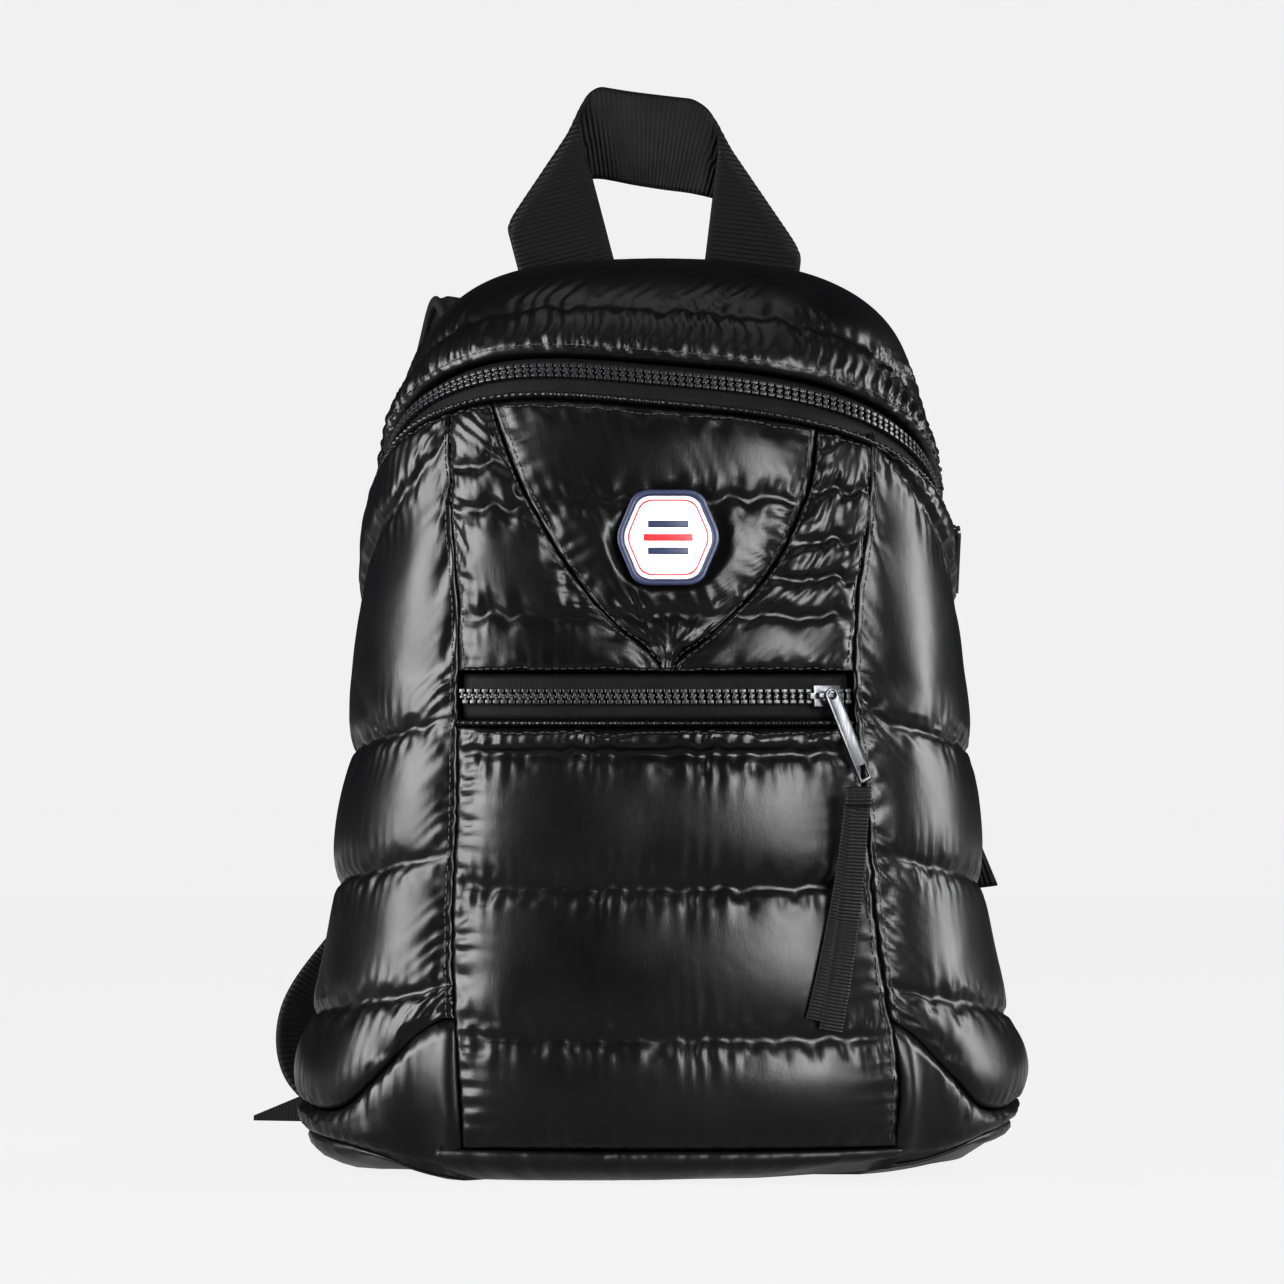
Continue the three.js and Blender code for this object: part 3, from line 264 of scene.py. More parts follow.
def surface_table():
    """The body surface by level and by share of the way round from back seam to back seam."""
    tilt = np.clip(LEVELS - TILT_START, 0, 90)
    climb = (TILT_END - TILT_START) * tilt / 90
    rise = np.radians(tilt)
    zero = np.zeros_like(LEVELS)
    origin = np.stack([zero, zero + BACK_SEAM_Y, np.minimum(LEVELS, TILT_START) + climb], -1)
    forward = np.stack([zero, -np.cos(rise), np.sin(rise)], -1)
    angle = np.linspace(-math.pi / 2, math.pi / 2, ANGLE_STEPS + 1)
    direction = forward[:, None] * np.cos(angle)[None, :, None]
    direction[..., 0] += np.sin(angle)[None, :]
    start = np.broadcast_to(origin[:, None], direction.shape)
    points = start + direction * reach(start, direction)[..., None]
    table = np.zeros((len(LEVELS), len(SHARES), 3))
    half = ANGLE_STEPS // 2
    for i, row in enumerate(points):
        run = run_length(row)
        left = run[half]
        right = run[-1] - left
        share = np.where(run <= left, run / left - 1, (run - left) / right)
        for axis in range(3):
            table[i, :, axis] = np.interp(SHARES, share, row[:, axis])
    return table


SURFACE = surface_table()


def surface(level, share):
    """Points on the body surface."""
    level, share = np.broadcast_arrays(np.asarray(level, float), np.asarray(share, float))
    u = np.clip(level, 0, LEVEL_TOP)
    v = np.clip((share + 1) / 2 * SHARE_STEPS, 0, SHARE_STEPS)
    i = np.minimum(u.astype(int), LEVEL_TOP - 1)
    j = np.minimum(v.astype(int), SHARE_STEPS - 1)
    a = (u - i)[..., None]
    b = (v - j)[..., None]
    low = SURFACE[i, j] * (1 - b) + SURFACE[i, j + 1] * b
    high = SURFACE[i + 1, j] * (1 - b) + SURFACE[i + 1, j + 1] * b
    return low * (1 - a) + high * a


def seam_shares(column, table, half, key, low, high):
    """Share at each level where the section crosses a seam given as x by height."""
    found = []
    inside = np.nonzero((SHARES >= low) & (SHARES <= high))[0]
    for row in SURFACE:
        p = row[inside]
        side = p[:, 0] - half * read_table(table, key(p[:, 2]), column)
        k = np.nonzero(side < 0)[0]
        k = min(k[-1] if len(k) else 0, len(inside) - 2)
        t = np.clip(-side[k] / (side[k + 1] - side[k] + 1e-9), 0, 1)
        found.append(SHARES[inside[k]] + t * (SHARES[1] - SHARES[0]))
    return np.array(found)


def height_key(z):
    """Height as a share of the body's."""
    return z / BODY_HEIGHT


def v_key(z):
    """Height as a share of the V's."""
    return np.clip((z - V_TIP) / (V_TOP - V_TIP), 0, 1)


SEAM_TABLES = {
    "left": seam_shares(1, VERTICAL_SEAMS, -SEAM_HALF, height_key, -0.8, 0.3),
    "right": seam_shares(2, VERTICAL_SEAMS, SEAM_HALF, height_key, -0.3, 0.8),
    "v_left": seam_shares(1, V_SEAM, -V_HALF, v_key, -0.8, 0.3),
    "v_right": seam_shares(2, V_SEAM, V_HALF, v_key, -0.3, 0.8),
}


def noise_wave(t, seed, octaves=4):
    """Smooth repeatable wave, about -1 to 1."""
    rng = np.random.default_rng(seed)
    total = np.zeros_like(np.asarray(t, float))
    for k in range(octaves):
        total += np.sin(t * (1.0 + 0.73 * k) + rng.uniform(0, 6.28)) * rng.uniform(0.5, 1)
    return total / octaves * 1.4


def seam(name):
    """Share of a seam by level, with the small waves of real sewing."""
    seed = sorted(SEAM_TABLES).index(name)

    def line(level):
        level = np.asarray(level, float)
        wobble = SEAM_WOBBLE * noise_wave(level * SEAM_WAVES, seed)
        return np.interp(level, LEVELS, SEAM_TABLES[name]) + wobble
    return line


def wavy(line, seed):
    """The same line with the small waves of a quilt seam."""
    return lambda share: line(share) + LINE_WOBBLE * noise_wave(np.asarray(share, float) * LINE_WAVES, seed)


def zip_level(share):
    """Level of the main zip's middle line."""
    return TILT_START + ZIP_TILT * read_table(ZIP_LINE, share, 1)


def beside_zip(distance):
    """Level that lies a distance above the main zip's middle line, by share."""
    def line(share):
        share = np.asarray(share, float)
        level = zip_level(share)
        step = (surface(level + 1, share) - surface(level - 1, share)) / 2
        ahead = np.clip(share + NEARBY, -1, 1)
        behind = np.clip(share - NEARBY, -1, 1)
        along = unit(surface(zip_level(ahead), ahead) - surface(zip_level(behind), behind))
        across = step - along * (step * along).sum(-1, keepdims=True)
        return level + distance / np.maximum(np.linalg.norm(across, axis=-1), 0.2)
    return line


def at_height(height):
    """Level where each line of constant share reaches a height on the front."""
    top = int(TILT_START + 75)
    found = [np.interp(height, SURFACE[:top, j, 2], LEVELS[:top]) for j in range(len(SHARES))]
    return lambda share: np.interp(share, SHARES, found)


def constant(value):
    """The same value at every share or level."""
    return lambda share: value + 0 * np.asarray(share, float)


class Panel:
    """One quilted panel as a grid of rows from its low line to its top line."""

    def __init__(self, name, sides, lines, puff=PUFF):
        self.name = name
        self.lines = lines
        self.sides = sides
        self.puff = puff
        level, share, row_share = self.lay_out()
        self.base = surface(level, share)
        self.normal = body_normal(self.base)
        self.rows_pinned = np.nonzero((row_share == 0) | (row_share == 1))[0]
        self.pinned = np.zeros(self.base.shape[:2], bool)
        self.pinned[self.rows_pinned] = True
        self.pinned[:, 0] = True
        self.pinned[:, -1] = True
        f = row_share[:, None]
        u = np.linspace(0, 1, self.base.shape[1])[None, :]
        rise = (4 * f * (1 - f)) ** 0.6 * (1 - np.abs(2 * u - 1) ** 5)
        self.points = self.base + self.normal * (puff * rise)[..., None]

    def row_places(self, middle):
        """For each row, the cell that it is in and how far up that cell it lies, 0 to 1."""
        places = []
        for k, (low_line, high_line) in enumerate(zip(self.lines[:-1], self.lines[1:])):
            gap = surface(high_line(middle), middle) - surface(low_line(middle), middle)
            count = max(4, int(round(float(np.linalg.norm(gap)) / STEP)))
            places += [(k, i / count) for i in range(count)]
        places.append((len(self.lines) - 2, 1.0))
        return places

    def column_count(self, middle):
        """Columns that the panel's widest line needs."""
        low, high = self.sides
        widths = []
        for line in self.lines[:-1]:
            level = float(line(middle))
            across = surface(level, np.linspace(float(low(level)), float(high(level)), 24))
            widths.append(run_length(across)[-1])
        return max(6, int(round(max(widths) / STEP)))

    def lay_out(self):
        """Level and share of every grid point, and how far up its cell each row lies."""
        low, high = self.sides
        middle = float(low(150.0) + high(150.0)) / 2
        places = self.row_places(middle)
        columns = self.column_count(middle)
        u = np.linspace(0, 1, columns + 1)
        levels, shares = [], []
        for k, f in places:
            share = np.full(columns + 1, middle)
            for _ in range(6):
                level = self.lines[k](share) * (1 - f) + self.lines[k + 1](share) * f
                share = low(level) * (1 - u) + high(level) * u
            levels.append(level)
            shares.append(share)
        level, share = self.trim(np.array(levels), np.array(shares))
        return level, share, np.array([f for _, f in places])

    def trim(self, level, share):
        """Draws the edges in by half the seam gap."""
        ahead = np.clip(share + NEARBY, -1, 1)
        behind = np.clip(share - NEARBY, -1, 1)
        across = np.linalg.norm(surface(level, ahead) - surface(level, behind), axis=-1)
        across /= ahead - behind
        upward = np.linalg.norm(surface(level + 0.5, share) - surface(level - 0.5, share), axis=-1)
        upward = np.maximum(upward, 0.2)
        share[:, 0] += SEAM_GAP / 2 / across[:, 0]
        share[:, -1] -= SEAM_GAP / 2 / across[:, -1]
        level[0] += SEAM_GAP / 2 / upward[0]
        level[-1] -= SEAM_GAP / 2 / upward[-1]
        return level, share

    def seam_distance(self):
        """Distance of every point from the nearest seam or quilt line, along the cloth."""
        up = run_length(self.base, 0)
        over = run_length(self.base, 1)
        nearest = np.minimum(over, over[:, -1:] - over)
        for row in self.rows_pinned:
            nearest = np.minimum(nearest, np.abs(up - up[row]))
        return nearest

    def smooth(self, passes):
        """Evens out the open parts and leaves the gathers by the seams."""
        open_part = np.clip((self.seam_distance() - SMOOTH_START) / SMOOTH_REACH, 0, 1)
        share = open_part[..., None] * 0.5
        for _ in range(passes):
            p = self.points
            middle = p.copy()
            middle[1:-1, 1:-1] = (p[:-2, 1:-1] + p[2:, 1:-1] + p[1:-1, :-2] + p[1:-1, 2:]) / 4
            self.points = p * (1 - share) + middle * share


def quilt_lines(heights, seeds):
    """Wavy quilt lines at shares of the body's height."""
    return [wavy(at_height(height * BODY_HEIGHT), seed) for height, seed in zip(heights, seeds)]


def side_and_corner(name, side, front, lower_zip):
    """One side's panel and the corner under it, from the front seam round to the back seam."""
    sides = (constant(-1.0), front) if side < 0 else (front, constant(1.0))
    start = abs(float(front(100.0)))

    def way_round(share):
        return np.clip((np.abs(share) - start) / (1 - start), 0, 1)

    def corner_line(share):
        return BASE_SEAM + CORNER_HEIGHT * read_table(CORNER_SEAM, way_round(share), 1)

    def low_line(share):
        return read_table(LOW_EDGE[side], way_round(share), 1)

    def side_line(height):
        return lambda share: height * BODY_HEIGHT - SIDE_DROP * way_round(share) ** 0.7

    quilting = [wavy(side_line(height), 7 + k) for k, height in enumerate(SIDE_LINES)]
    return [
        Panel(f"side_panel_{name}", sides, [corner_line, *quilting, lower_zip]),
        Panel(f"lower_corner_{name}", sides, [low_line, corner_line], CORNER_PUFF),
    ]


def make_panels():
    """All the quilted panels, in the order that the cloth and its gathers are worked out in."""
    left, right, v_left, v_right = (seam(name) for name in ("left", "right", "v_left", "v_right"))
    lower_zip = beside_zip(TAPE_BOTTOM - FIT_GAP - PIPING)
    upper_zip = beside_zip(TAPE_TOP + 2 * FIT_GAP)
    pocket_top = at_height(ZIP_HEIGHT + POCKET_TAPE / 2 + FIT_GAP)
    pocket_bottom = at_height(ZIP_HEIGHT - POCKET_TAPE / 2 - FIT_GAP - PIPING)
    sides = {"yoke_center": (v_left, v_right), "yoke_left": (left, v_left), "yoke_right": (v_right, right)}
    panels = []
    for name, heights in YOKE_LINES.items():
        lines = [pocket_top, *quilt_lines(heights, [3] * len(heights)), lower_zip]
        panels.append(Panel(name, sides[name], lines, YOKE_PUFF))
    lines = [at_height(BASE_SEAM), *quilt_lines(POCKET_LINES, range(3)), pocket_bottom]
    panels.append(Panel("pocket_panel", (left, right), lines))
    panels += side_and_corner("left", -1, left, lower_zip)
    panels += side_and_corner("right", 1, right, lower_zip)

    def gusset_line(share):
        return upper_zip(share) * (1 - GUSSET_LINE) + LEVEL_TOP * GUSSET_LINE

    lines = [upper_zip, wavy(gusset_line, 21), constant(float(LEVEL_TOP))]
    panels.append(Panel("top_gusset", (constant(-1.0), constant(1.0)), lines, GUSSET_PUFF))
    return panels


def grid_faces(rows, columns, offset=0, flip=False):
    """Four-sided faces of a grid of points."""
    i, j = np.meshgrid(np.arange(rows - 1), np.arange(columns - 1), indexing="ij")
    a = offset + i * columns + j
    quads = np.stack([a, a + 1, a + columns + 1, a + columns], -1).reshape(-1, 4)
    return quads[:, ::-1] if flip else quads


def grid_border(rows, columns):
    """Indexes of a grid's outer points, once round."""
    border = [(0, j) for j in range(columns)]
    border += [(i, columns - 1) for i in range(1, rows)]
    border += [(rows - 1, j) for j in range(columns - 2, -1, -1)]
    border += [(i, 0) for i in range(rows - 2, 0, -1)]
    return np.array([i * columns + j for i, j in border])


def tube_faces(rows, count, capped=True, looped=False):
    """Faces of rows of rings: with a face over each end, or with the last ring joined to the first."""
    i, j = np.meshgrid(np.arange(rows if looped else rows - 1), np.arange(count), indexing="ij")
    a = i * count + j
    b = i * count + (j + 1) % count
    whole = rows * count
    faces = np.stack([a, b, (b + count) % whole, (a + count) % whole], -1).reshape(-1, 4).tolist()
    if capped and not looped:
        faces.append(list(range(count - 1, -1, -1)))
        faces.append(list(range(whole - count, whole)))
    return faces


def add_object(name, data):
    """A new object at the origin, linked to the scene."""
    made = bpy.data.objects.new(name, data)
    bpy.context.scene.collection.objects.link(made)
    return made


def shade(mesh, smooth=True):
    mesh.polygons.foreach_set("use_smooth", [smooth] * len(mesh.polygons))


def mesh_object(name, points, faces, material, lay=None, smooth=True):
    """A mesh object from points in mm. lay is a point attribute in mm: across, along, 0."""
    mesh = bpy.data.meshes.new(name)
    mesh.from_pydata((np.asarray(points, float) * M).tolist(), [], [list(map(int, f)) for f in faces])
    if lay is not None:
        attribute = mesh.attributes.new("lay", "FLOAT_VECTOR", "POINT")
        attribute.data.foreach_set("vector", np.asarray(lay, np.float32).ravel())
    mesh.materials.append(material)
    shade(mesh, smooth)
    return add_object(name, mesh)


def face_outwards(made):
    """Turns a closed mesh's faces outwards."""
    work = bmesh.new()
    work.from_mesh(made.data)
    if work.calc_volume(signed=True) < 0:
        bmesh.ops.reverse_faces(work, faces=work.faces)
    work.to_mesh(made.data)
    work.free()
    return made


def finish_piece(made, nodes=()):
    """Rides the piece on the body and hides the CAD nodes that it stands for."""
    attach(made, "root")
    if nodes:
        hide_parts(*nodes)
    return made


# Cloth: growth of the seams and of the open cloth, and how far it may move outwards, inwards and sideways
SIM_FRAMES = 20
SEAM_GROWTH = -0.06
OPEN_GROWTH = -0.012
GROWTH_REACH = 9.0
SMOOTH_PASSES = 14
SMOOTH_START = 6.0
SMOOTH_REACH = 14.0
OUTWARD_LIMIT = 8.5
INWARD_LIMIT = 1.6
SIDEWAYS_LIMIT = 4.0
SHAKE = 0.12
CLOTH = {
    "quality": 5,
    "mass": 0.3,
    "tension_stiffness": 15,
    "compression_stiffness": 15,
    "shear_stiffness": 5,
    "bending_stiffness": 0.8,
    "air_damping": 3,
    "use_pressure": True,
    "uniform_pressure_force": 5.0,
    "vertex_group_mass": "seams",
    "vertex_group_shrink": "gathers",
    "shrink_min": OPEN_GROWTH,
    "shrink_max": SEAM_GROWTH,
}


def cloth_object(panels):
    """All the panels as one cloth, and the number of its points before and after each panel."""
    verts, faces, pins, growth, counts = [], [], [], [], [0]
    for k, panel in enumerate(panels):
        rows, columns = panel.points.shape[:2]
        wave = noise_wave(panel.base[..., 0] * 0.9 + panel.base[..., 2] * 0.5, k)
        shake = SHAKE * wave * ~panel.pinned
        verts.append((panel.points + panel.normal * shake[..., None]).reshape(-1, 3))
        growth.append(np.exp(-panel.seam_distance() / GROWTH_REACH).ravel())
        faces.append(grid_faces(rows, columns, counts[-1]))
        pins.append(panel.pinned.ravel())
        counts.append(counts[-1] + rows * columns)
    mesh = bpy.data.meshes.new("cloth")
    mesh.from_pydata((np.concatenate(verts) * M).tolist(), [], np.concatenate(faces).tolist())
    cloth = add_object("cloth", mesh)
    seams = cloth.vertex_groups.new(name="seams")
    seams.add(np.nonzero(np.concatenate(pins))[0].tolist(), 1.0, "REPLACE")
    gathers = cloth.vertex_groups.new(name="gathers")
    weights = np.round(np.concatenate(growth), 2)
    for weight in np.unique(weights):
        gathers.add(np.nonzero(weights == weight)[0].tolist(), float(weight), "REPLACE")
    return cloth, counts


def blown_points(cloth):
    """Runs the cloth under pressure, reads where its points come to rest and takes it away."""
    modifier = cloth.modifiers.new("cloth", "CLOTH")
    for name, value in CLOTH.items():
        setattr(modifier.settings, name, value)
    modifier.settings.effector_weights.gravity = 0
    modifier.collision_settings.use_collision = False
    modifier.collision_settings.use_self_collision = False
    modifier.point_cache.frame_start = 1
    modifier.point_cache.frame_end = SIM_FRAMES
    for step in range(1, SIM_FRAMES + 1):
        bpy.context.scene.frame_set(step)
    shaped = cloth.evaluated_get(bpy.context.evaluated_depsgraph_get()).data
    found = np.zeros(len(shaped.vertices) * 3)
    shaped.vertices.foreach_get("co", found)
    bpy.data.objects.remove(cloth)
    bpy.context.scene.frame_set(1)
    return found.reshape(-1, 3) / M


def take_shape(panel, found):
    """Gives a panel its blown shape, within limits outwards, inwards and sideways."""
    moved = found.reshape(panel.points.shape) - panel.base
    out = (moved * panel.normal).sum(-1, keepdims=True)
    sideways = moved - panel.normal * out
    length = np.linalg.norm(sideways, axis=-1, keepdims=True)
    sideways *= np.minimum(1, SIDEWAYS_LIMIT / np.maximum(length, 1e-6))
    limit = OUTWARD_LIMIT * (0.3 + 0.7 * panel.puff / PUFF)
    out = np.where(out > 0, limit * np.tanh(out / limit), np.maximum(out, -INWARD_LIMIT))
    loose = ~panel.pinned[..., None]
    panel.points = np.where(loose, panel.base + sideways + panel.normal * out, panel.points)
    panel.smooth(SMOOTH_PASSES)


def simulate(panels):
    """Blows the panels up as one cloth, held at every seam and quilt line."""
    cloth, counts = cloth_object(panels)
    found = blown_points(cloth)
    for panel, start, end in zip(panels, counts[:-1], counts[1:]):
        take_shape(panel, found[start:end])


# Badge: its place and size, and how the cloth lies round it
BADGE_X = 4.0
BADGE_Z = 250.0
BADGE_HALF_WIDTH = 20.5
BADGE_HALF_HEIGHT = 18.5
BADGE_SEAT = 1.0
BADGE_SLOPE = 14.0


def press_under_badge(panel):
    """Holds the cloth down under the badge."""
    x = (panel.base[..., 0] - BADGE_X) / BADGE_HALF_WIDTH
    z = (panel.base[..., 2] - BADGE_Z) / BADGE_HALF_HEIGHT
    away = np.maximum(np.sqrt(x * x + z * z) - 1.0, 0)
    limit = (BADGE_SEAT + BADGE_SLOPE * away)[..., None]
    out = ((panel.points - panel.base) * panel.normal).sum(-1, keepdims=True)
    panel.points = panel.points - panel.normal * np.maximum(out - limit, 0)


def refine(grid):
    """Twice as many rows and columns through the same points, smoothly."""
    for axis in (0, 1):
        g = np.moveaxis(grid, axis, 0)
        first = 2 * g[:1] - g[1:2]
        last = 2 * g[-1:] - g[-2:-1]
        padded = np.concatenate([first, g, last])
        between = (-padded[:-3] + 9 * padded[1:-2] + 9 * padded[2:-1] - padded[3:]) / 16
        out = np.zeros((2 * len(g) - 1, *g.shape[1:]))
        out[0::2] = g
        out[1::2] = between
        grid = np.moveaxis(out, 0, axis)
    return grid


def grid_normal(points):
    """The way that a grid of points faces, from its own slopes."""
    across = np.gradient(points, axis=1)
    upward = np.gradient(points, axis=0)
    return unit(np.cross(across, upward))


GATHER_HEIGHT = 0.55
GATHER_REACH = 9.0
GATHER_FADE = 2.2
COLUMN_SHARE = 1.35
PLEAT_DRIFT = 2.6
PATCHINESS = 0.6

# Pleats: turns, drift and patches for each mm, the usual strength, and a step of seed
ROW_PLEATS = (1.05, 0.11, 0.05, 0.55, 9)
COLUMN_PLEATS = (0.95, 0.12, 0.06, 0.5, 3)

# How high the gathers stand in each panel and how far they run, as shares
GATHER_SHARES = {
    "top_gusset": (1.9, 1.6),
    "pocket_panel": (1.4, 1.0),
    "yoke_center": (1.2, 1.1),
    "yoke_left": (0.9, 1.0),
    "yoke_right": (0.8, 0.9),
}
OTHER_SHARES = (1.1, 1.1)


def pleats(run, seed, turns, drift, patches, strength, seed_step):
    """Wave of small pleats along a seam, and how strong they are at each place."""
    phase = run * turns + noise_wave(run * drift, seed) * PLEAT_DRIFT
    strong = np.clip(strength + PATCHINESS * noise_wave(run * patches, seed + seed_step), 0.05, 1.3)
    return np.sin(phase) * strong, strong


def gather(panel, seed):
    """Small pleats that run out of every seam and fade towards the middle of each cell."""
    points = panel.fine
    rows, columns = points.shape[:2]
    height_share, reach_share = GATHER_SHARES.get(panel.name, OTHER_SHARES)
    along_row = run_length(points, 1)
    along_column = run_length(points, 0)
    total = np.zeros((rows, columns))
    for row in 2 * panel.rows_pinned:
        away = np.abs(along_column - along_column[row])
        wave, strong = pleats(along_row, seed + row, *ROW_PLEATS)
        reach_here = GATHER_REACH * reach_share * (0.5 + 0.5 * strong)
        total += wave * away / 2 * np.exp(-away / reach_here * GATHER_FADE)
    for column in (0, columns - 1):
        away = np.abs(along_row - along_row[:, column:column + 1])
        wave, _ = pleats(along_column, seed + column, *COLUMN_PLEATS)
        total += COLUMN_SHARE * wave * away / 2 * np.exp(-away / GATHER_REACH * GATHER_FADE)
    lift = GATHER_HEIGHT * height_share * total
    panel.fine = points + grid_normal(points) * lift[..., None]


def shell_object(panel, material):
    """The finished panel as a closed shell with its edges turned in."""
    outer = panel.fine
    base = refine(panel.base)
    normal = body_normal(base)
    rows, columns = outer.shape[:2]
    count = rows * columns
    edge = grid_border(rows, columns)
    inner_edge = edge + count
    rim_edge = 2 * count + np.arange(len(edge))
    rim = (outer - normal * RIM_DEPTH).reshape(-1, 3)[edge]
    points = np.concatenate([outer.reshape(-1, 3), (base - normal * SHELL).reshape(-1, 3), rim])
    faces = [grid_faces(rows, columns), grid_faces(rows, columns, count, flip=True)]
    for upper, lower in ((edge, rim_edge), (rim_edge, inner_edge)):
        faces.append(np.stack([np.roll(upper, -1), upper, lower, np.roll(lower, -1)], -1))
    made = mesh_object(panel.name + "_cloth", points, np.concatenate(faces), material)
    return face_outwards(made)


class Shader:
    """A node material with short ways to add the nodes used here."""

    def __init__(self, name, **constants):
        self.material = bpy.data.materials.new(name)
        self.material.use_nodes = True
        self.tree = self.material.node_tree
        self.bsdf = self.tree.nodes["Principled BSDF"]
        for socket, value in constants.items():
            self.bsdf.inputs[socket.replace("_", " ")].default_value = value
        self.place = self.node("ShaderNodeTexCoord").outputs["Object"]

    def node(self, kind, **properties):
        made = self.tree.nodes.new(kind)
        for key, value in properties.items():
            setattr(made, key, value)
        return made

    def link(self, source, target):
        if isinstance(source, (int, float)):
            target.default_value = source
        else:
            self.tree.links.new(source, target)

    def set(self, **sources):
        """Links sources to the finish's own sockets."""
        for socket, source in sources.items():
            self.link(source, self.bsdf.inputs[socket.replace("_", " ")])

    def lay(self):
        return self.node("ShaderNodeAttribute", attribute_name="lay").outputs["Vector"]

    def noise(self, scale, detail=3.0, roughness=0.5, stretch=None, distortion=0.0):
        place = self.place
        if stretch:
            mapping = self.node("ShaderNodeMapping")
            mapping.inputs["Scale"].default_value = stretch
            self.link(place, mapping.inputs["Vector"])
            place = mapping.outputs["Vector"]
        made = self.node("ShaderNodeTexNoise")
        made.inputs["Scale"].default_value = scale
        made.inputs["Detail"].default_value = detail
        made.inputs["Roughness"].default_value = roughness
        made.inputs["Distortion"].default_value = distortion
        self.link(place, made.inputs["Vector"])
        return made.outputs["Fac"]

    def math(self, operation, a, b=0.0, c=0.0):
        made = self.node("ShaderNodeMath", operation=operation)
        for value, target in zip((a, b, c), made.inputs):
            self.link(value, target)
        return made.outputs[0]

    def range(self, value, low, high, out_low, out_high):
        made = self.node("ShaderNodeMapRange")
        for source, target in zip((value, low, high, out_low, out_high), made.inputs):
            self.link(source, target)
        return made.outputs[0]

    def vary(self, value, low, high):
        """Spreads a noise's middle part between low and high."""
        return self.range(value, 0.3, 0.7, low, high)

    def split(self, vector):
        made = self.node("ShaderNodeSeparateXYZ")
        self.link(vector, made.inputs[0])
        return made.outputs

    def mix(self, factor, a, b):
        made = self.node("ShaderNodeMix", data_type="RGBA")
        self.link(factor, made.inputs["Factor"])
        made.inputs[6].default_value = (*a, 1)
        made.inputs[7].default_value = (*b, 1)
        return made.outputs[2]

    def bump(self, height, distance, strength=1.0, below=None):
        made = self.node("ShaderNodeBump")
        made.inputs["Distance"].default_value = distance
        made.inputs["Strength"].default_value = strength
        self.link(height, made.inputs["Height"])
        if below is not None:
            self.link(below, made.inputs["Normal"])
        return made.outputs["Normal"]

    def ridges(self, value, pitch):
        """Rounded ridges, 0 to 1, at a pitch in the units of value."""
        turn = self.math("MULTIPLY", value, 2 * math.pi / pitch)
        wave = self.math("SINE", turn)
        return self.math("MULTIPLY_ADD", wave, 0.5, 0.5)


def shades(colour, low, high):
    """A darker and a lighter shade of a colour."""
    return tuple(c * low for c in colour), tuple(c * high for c in colour)


def nylon_material(name, low_rough, high_rough):
    """Calendered nylon: satin shine, soft creases, fine threads."""
    s = Shader(name, Roughness=low_rough, Specular_IOR_Level=0.27)
    creases = s.noise(24, 3, 0.5, distortion=0.4)
    fine = s.noise(190, 3, 0.55)
    weave = s.noise(2600, 1, 0.5)
    slub = s.noise(900, 2, 0.6, stretch=(1, 1, 0.15))
    wear_and_weave_shade = s.math("ADD", s.noise(30, 3), s.math("MULTIPLY", slub, 0.3))
    low = s.bump(creases, 0.0012, 0.4)
    middle = s.bump(fine, 0.00016, 0.4, low)
    s.set(
        Base_Color=s.mix(s.vary(s.noise(14, 2), 0, 1), (0.0012, 0.0012, 0.0014), (0.0028, 0.0028, 0.0032)),
        Roughness=s.range(wear_and_weave_shade, 0.4, 0.95, low_rough, high_rough),
        Normal=s.bump(s.math("ADD", weave, slub), 0.00005, 0.6, middle),
    )
    return s.material


def cloth_material(name, colour, pitch=1.1, roughness=0.75):
    """Plain weave, or mesh where the pitch is coarse."""
    s = Shader(name, Roughness=roughness, Specular_IOR_Level=0.2)
    x, y, z = s.split(s.place)[:3]
    scale = 1 / M
    weft = s.ridges(s.math("MULTIPLY", s.math("ADD", x, s.math("MULTIPLY", y, 0.6)), scale), pitch)
    warp = s.ridges(s.math("MULTIPLY", z, scale), pitch)
    weave = s.math("MULTIPLY", weft, warp)
    # Colour: lighter where the threads cross and darker between them, painted shade of the weave, mixed with
    # random wear
    wear_and_weave_shade = s.math("ADD", s.math("MULTIPLY", weave, 0.6), s.math("MULTIPLY", s.noise(90, 3), 0.4))
    s.set(
        Base_Color=s.mix(wear_and_weave_shade, *shades(colour, 0.7, 1.35)),
        Roughness=s.vary(s.noise(50, 3), roughness - 0.07, roughness + 0.08),
        Normal=s.bump(weave, 0.0002, 0.7, s.bump(s.noise(40, 4), 0.0012, 0.4)),
    )
    return s.material


def ribbed_material(name, colour, rib, thread, roughness=0.7, depth=0.00025):
    """Woven tape: ribs across its width at a pitch along it, and warp threads."""
    s = Shader(name, Roughness=roughness, Specular_IOR_Level=0.15)
    across, along = s.split(s.lay())[:2]
    threads = s.ridges(across, thread)
    height = s.math("MULTIPLY", s.ridges(along, rib), s.math("MULTIPLY_ADD", threads, 0.4, 0.6))
    wear_and_weave_shade = s.noise(70, 3)
    # Colour follows the ribs: painted highlight on their tops and painted shade between them, with random
    # wear mixed in
    tone = s.math("MULTIPLY_ADD", height, 0.7, s.math("MULTIPLY", wear_and_weave_shade, 0.3))
    s.set(
        Base_Color=s.mix(tone, *shades(colour, 0.6, 1.5)),
        Roughness=s.vary(wear_and_weave_shade, roughness - 0.08, roughness + 0.08),
        Normal=s.bump(height, depth, 0.8),
    )
    return s.material


def metal_material():
    s = Shader("dark satin metal", Metallic=1.0, Roughness=0.32)
    brushed = s.noise(900, 2, 0.5, stretch=(1, 1, 0.12))
    s.set(
        Base_Color=s.mix(s.noise(120, 3), (0.035, 0.035, 0.038), (0.075, 0.075, 0.08)),
        Roughness=s.vary(brushed, 0.26, 0.42),
        Normal=s.bump(brushed, 0.00003, 0.5),
    )
    return s.material


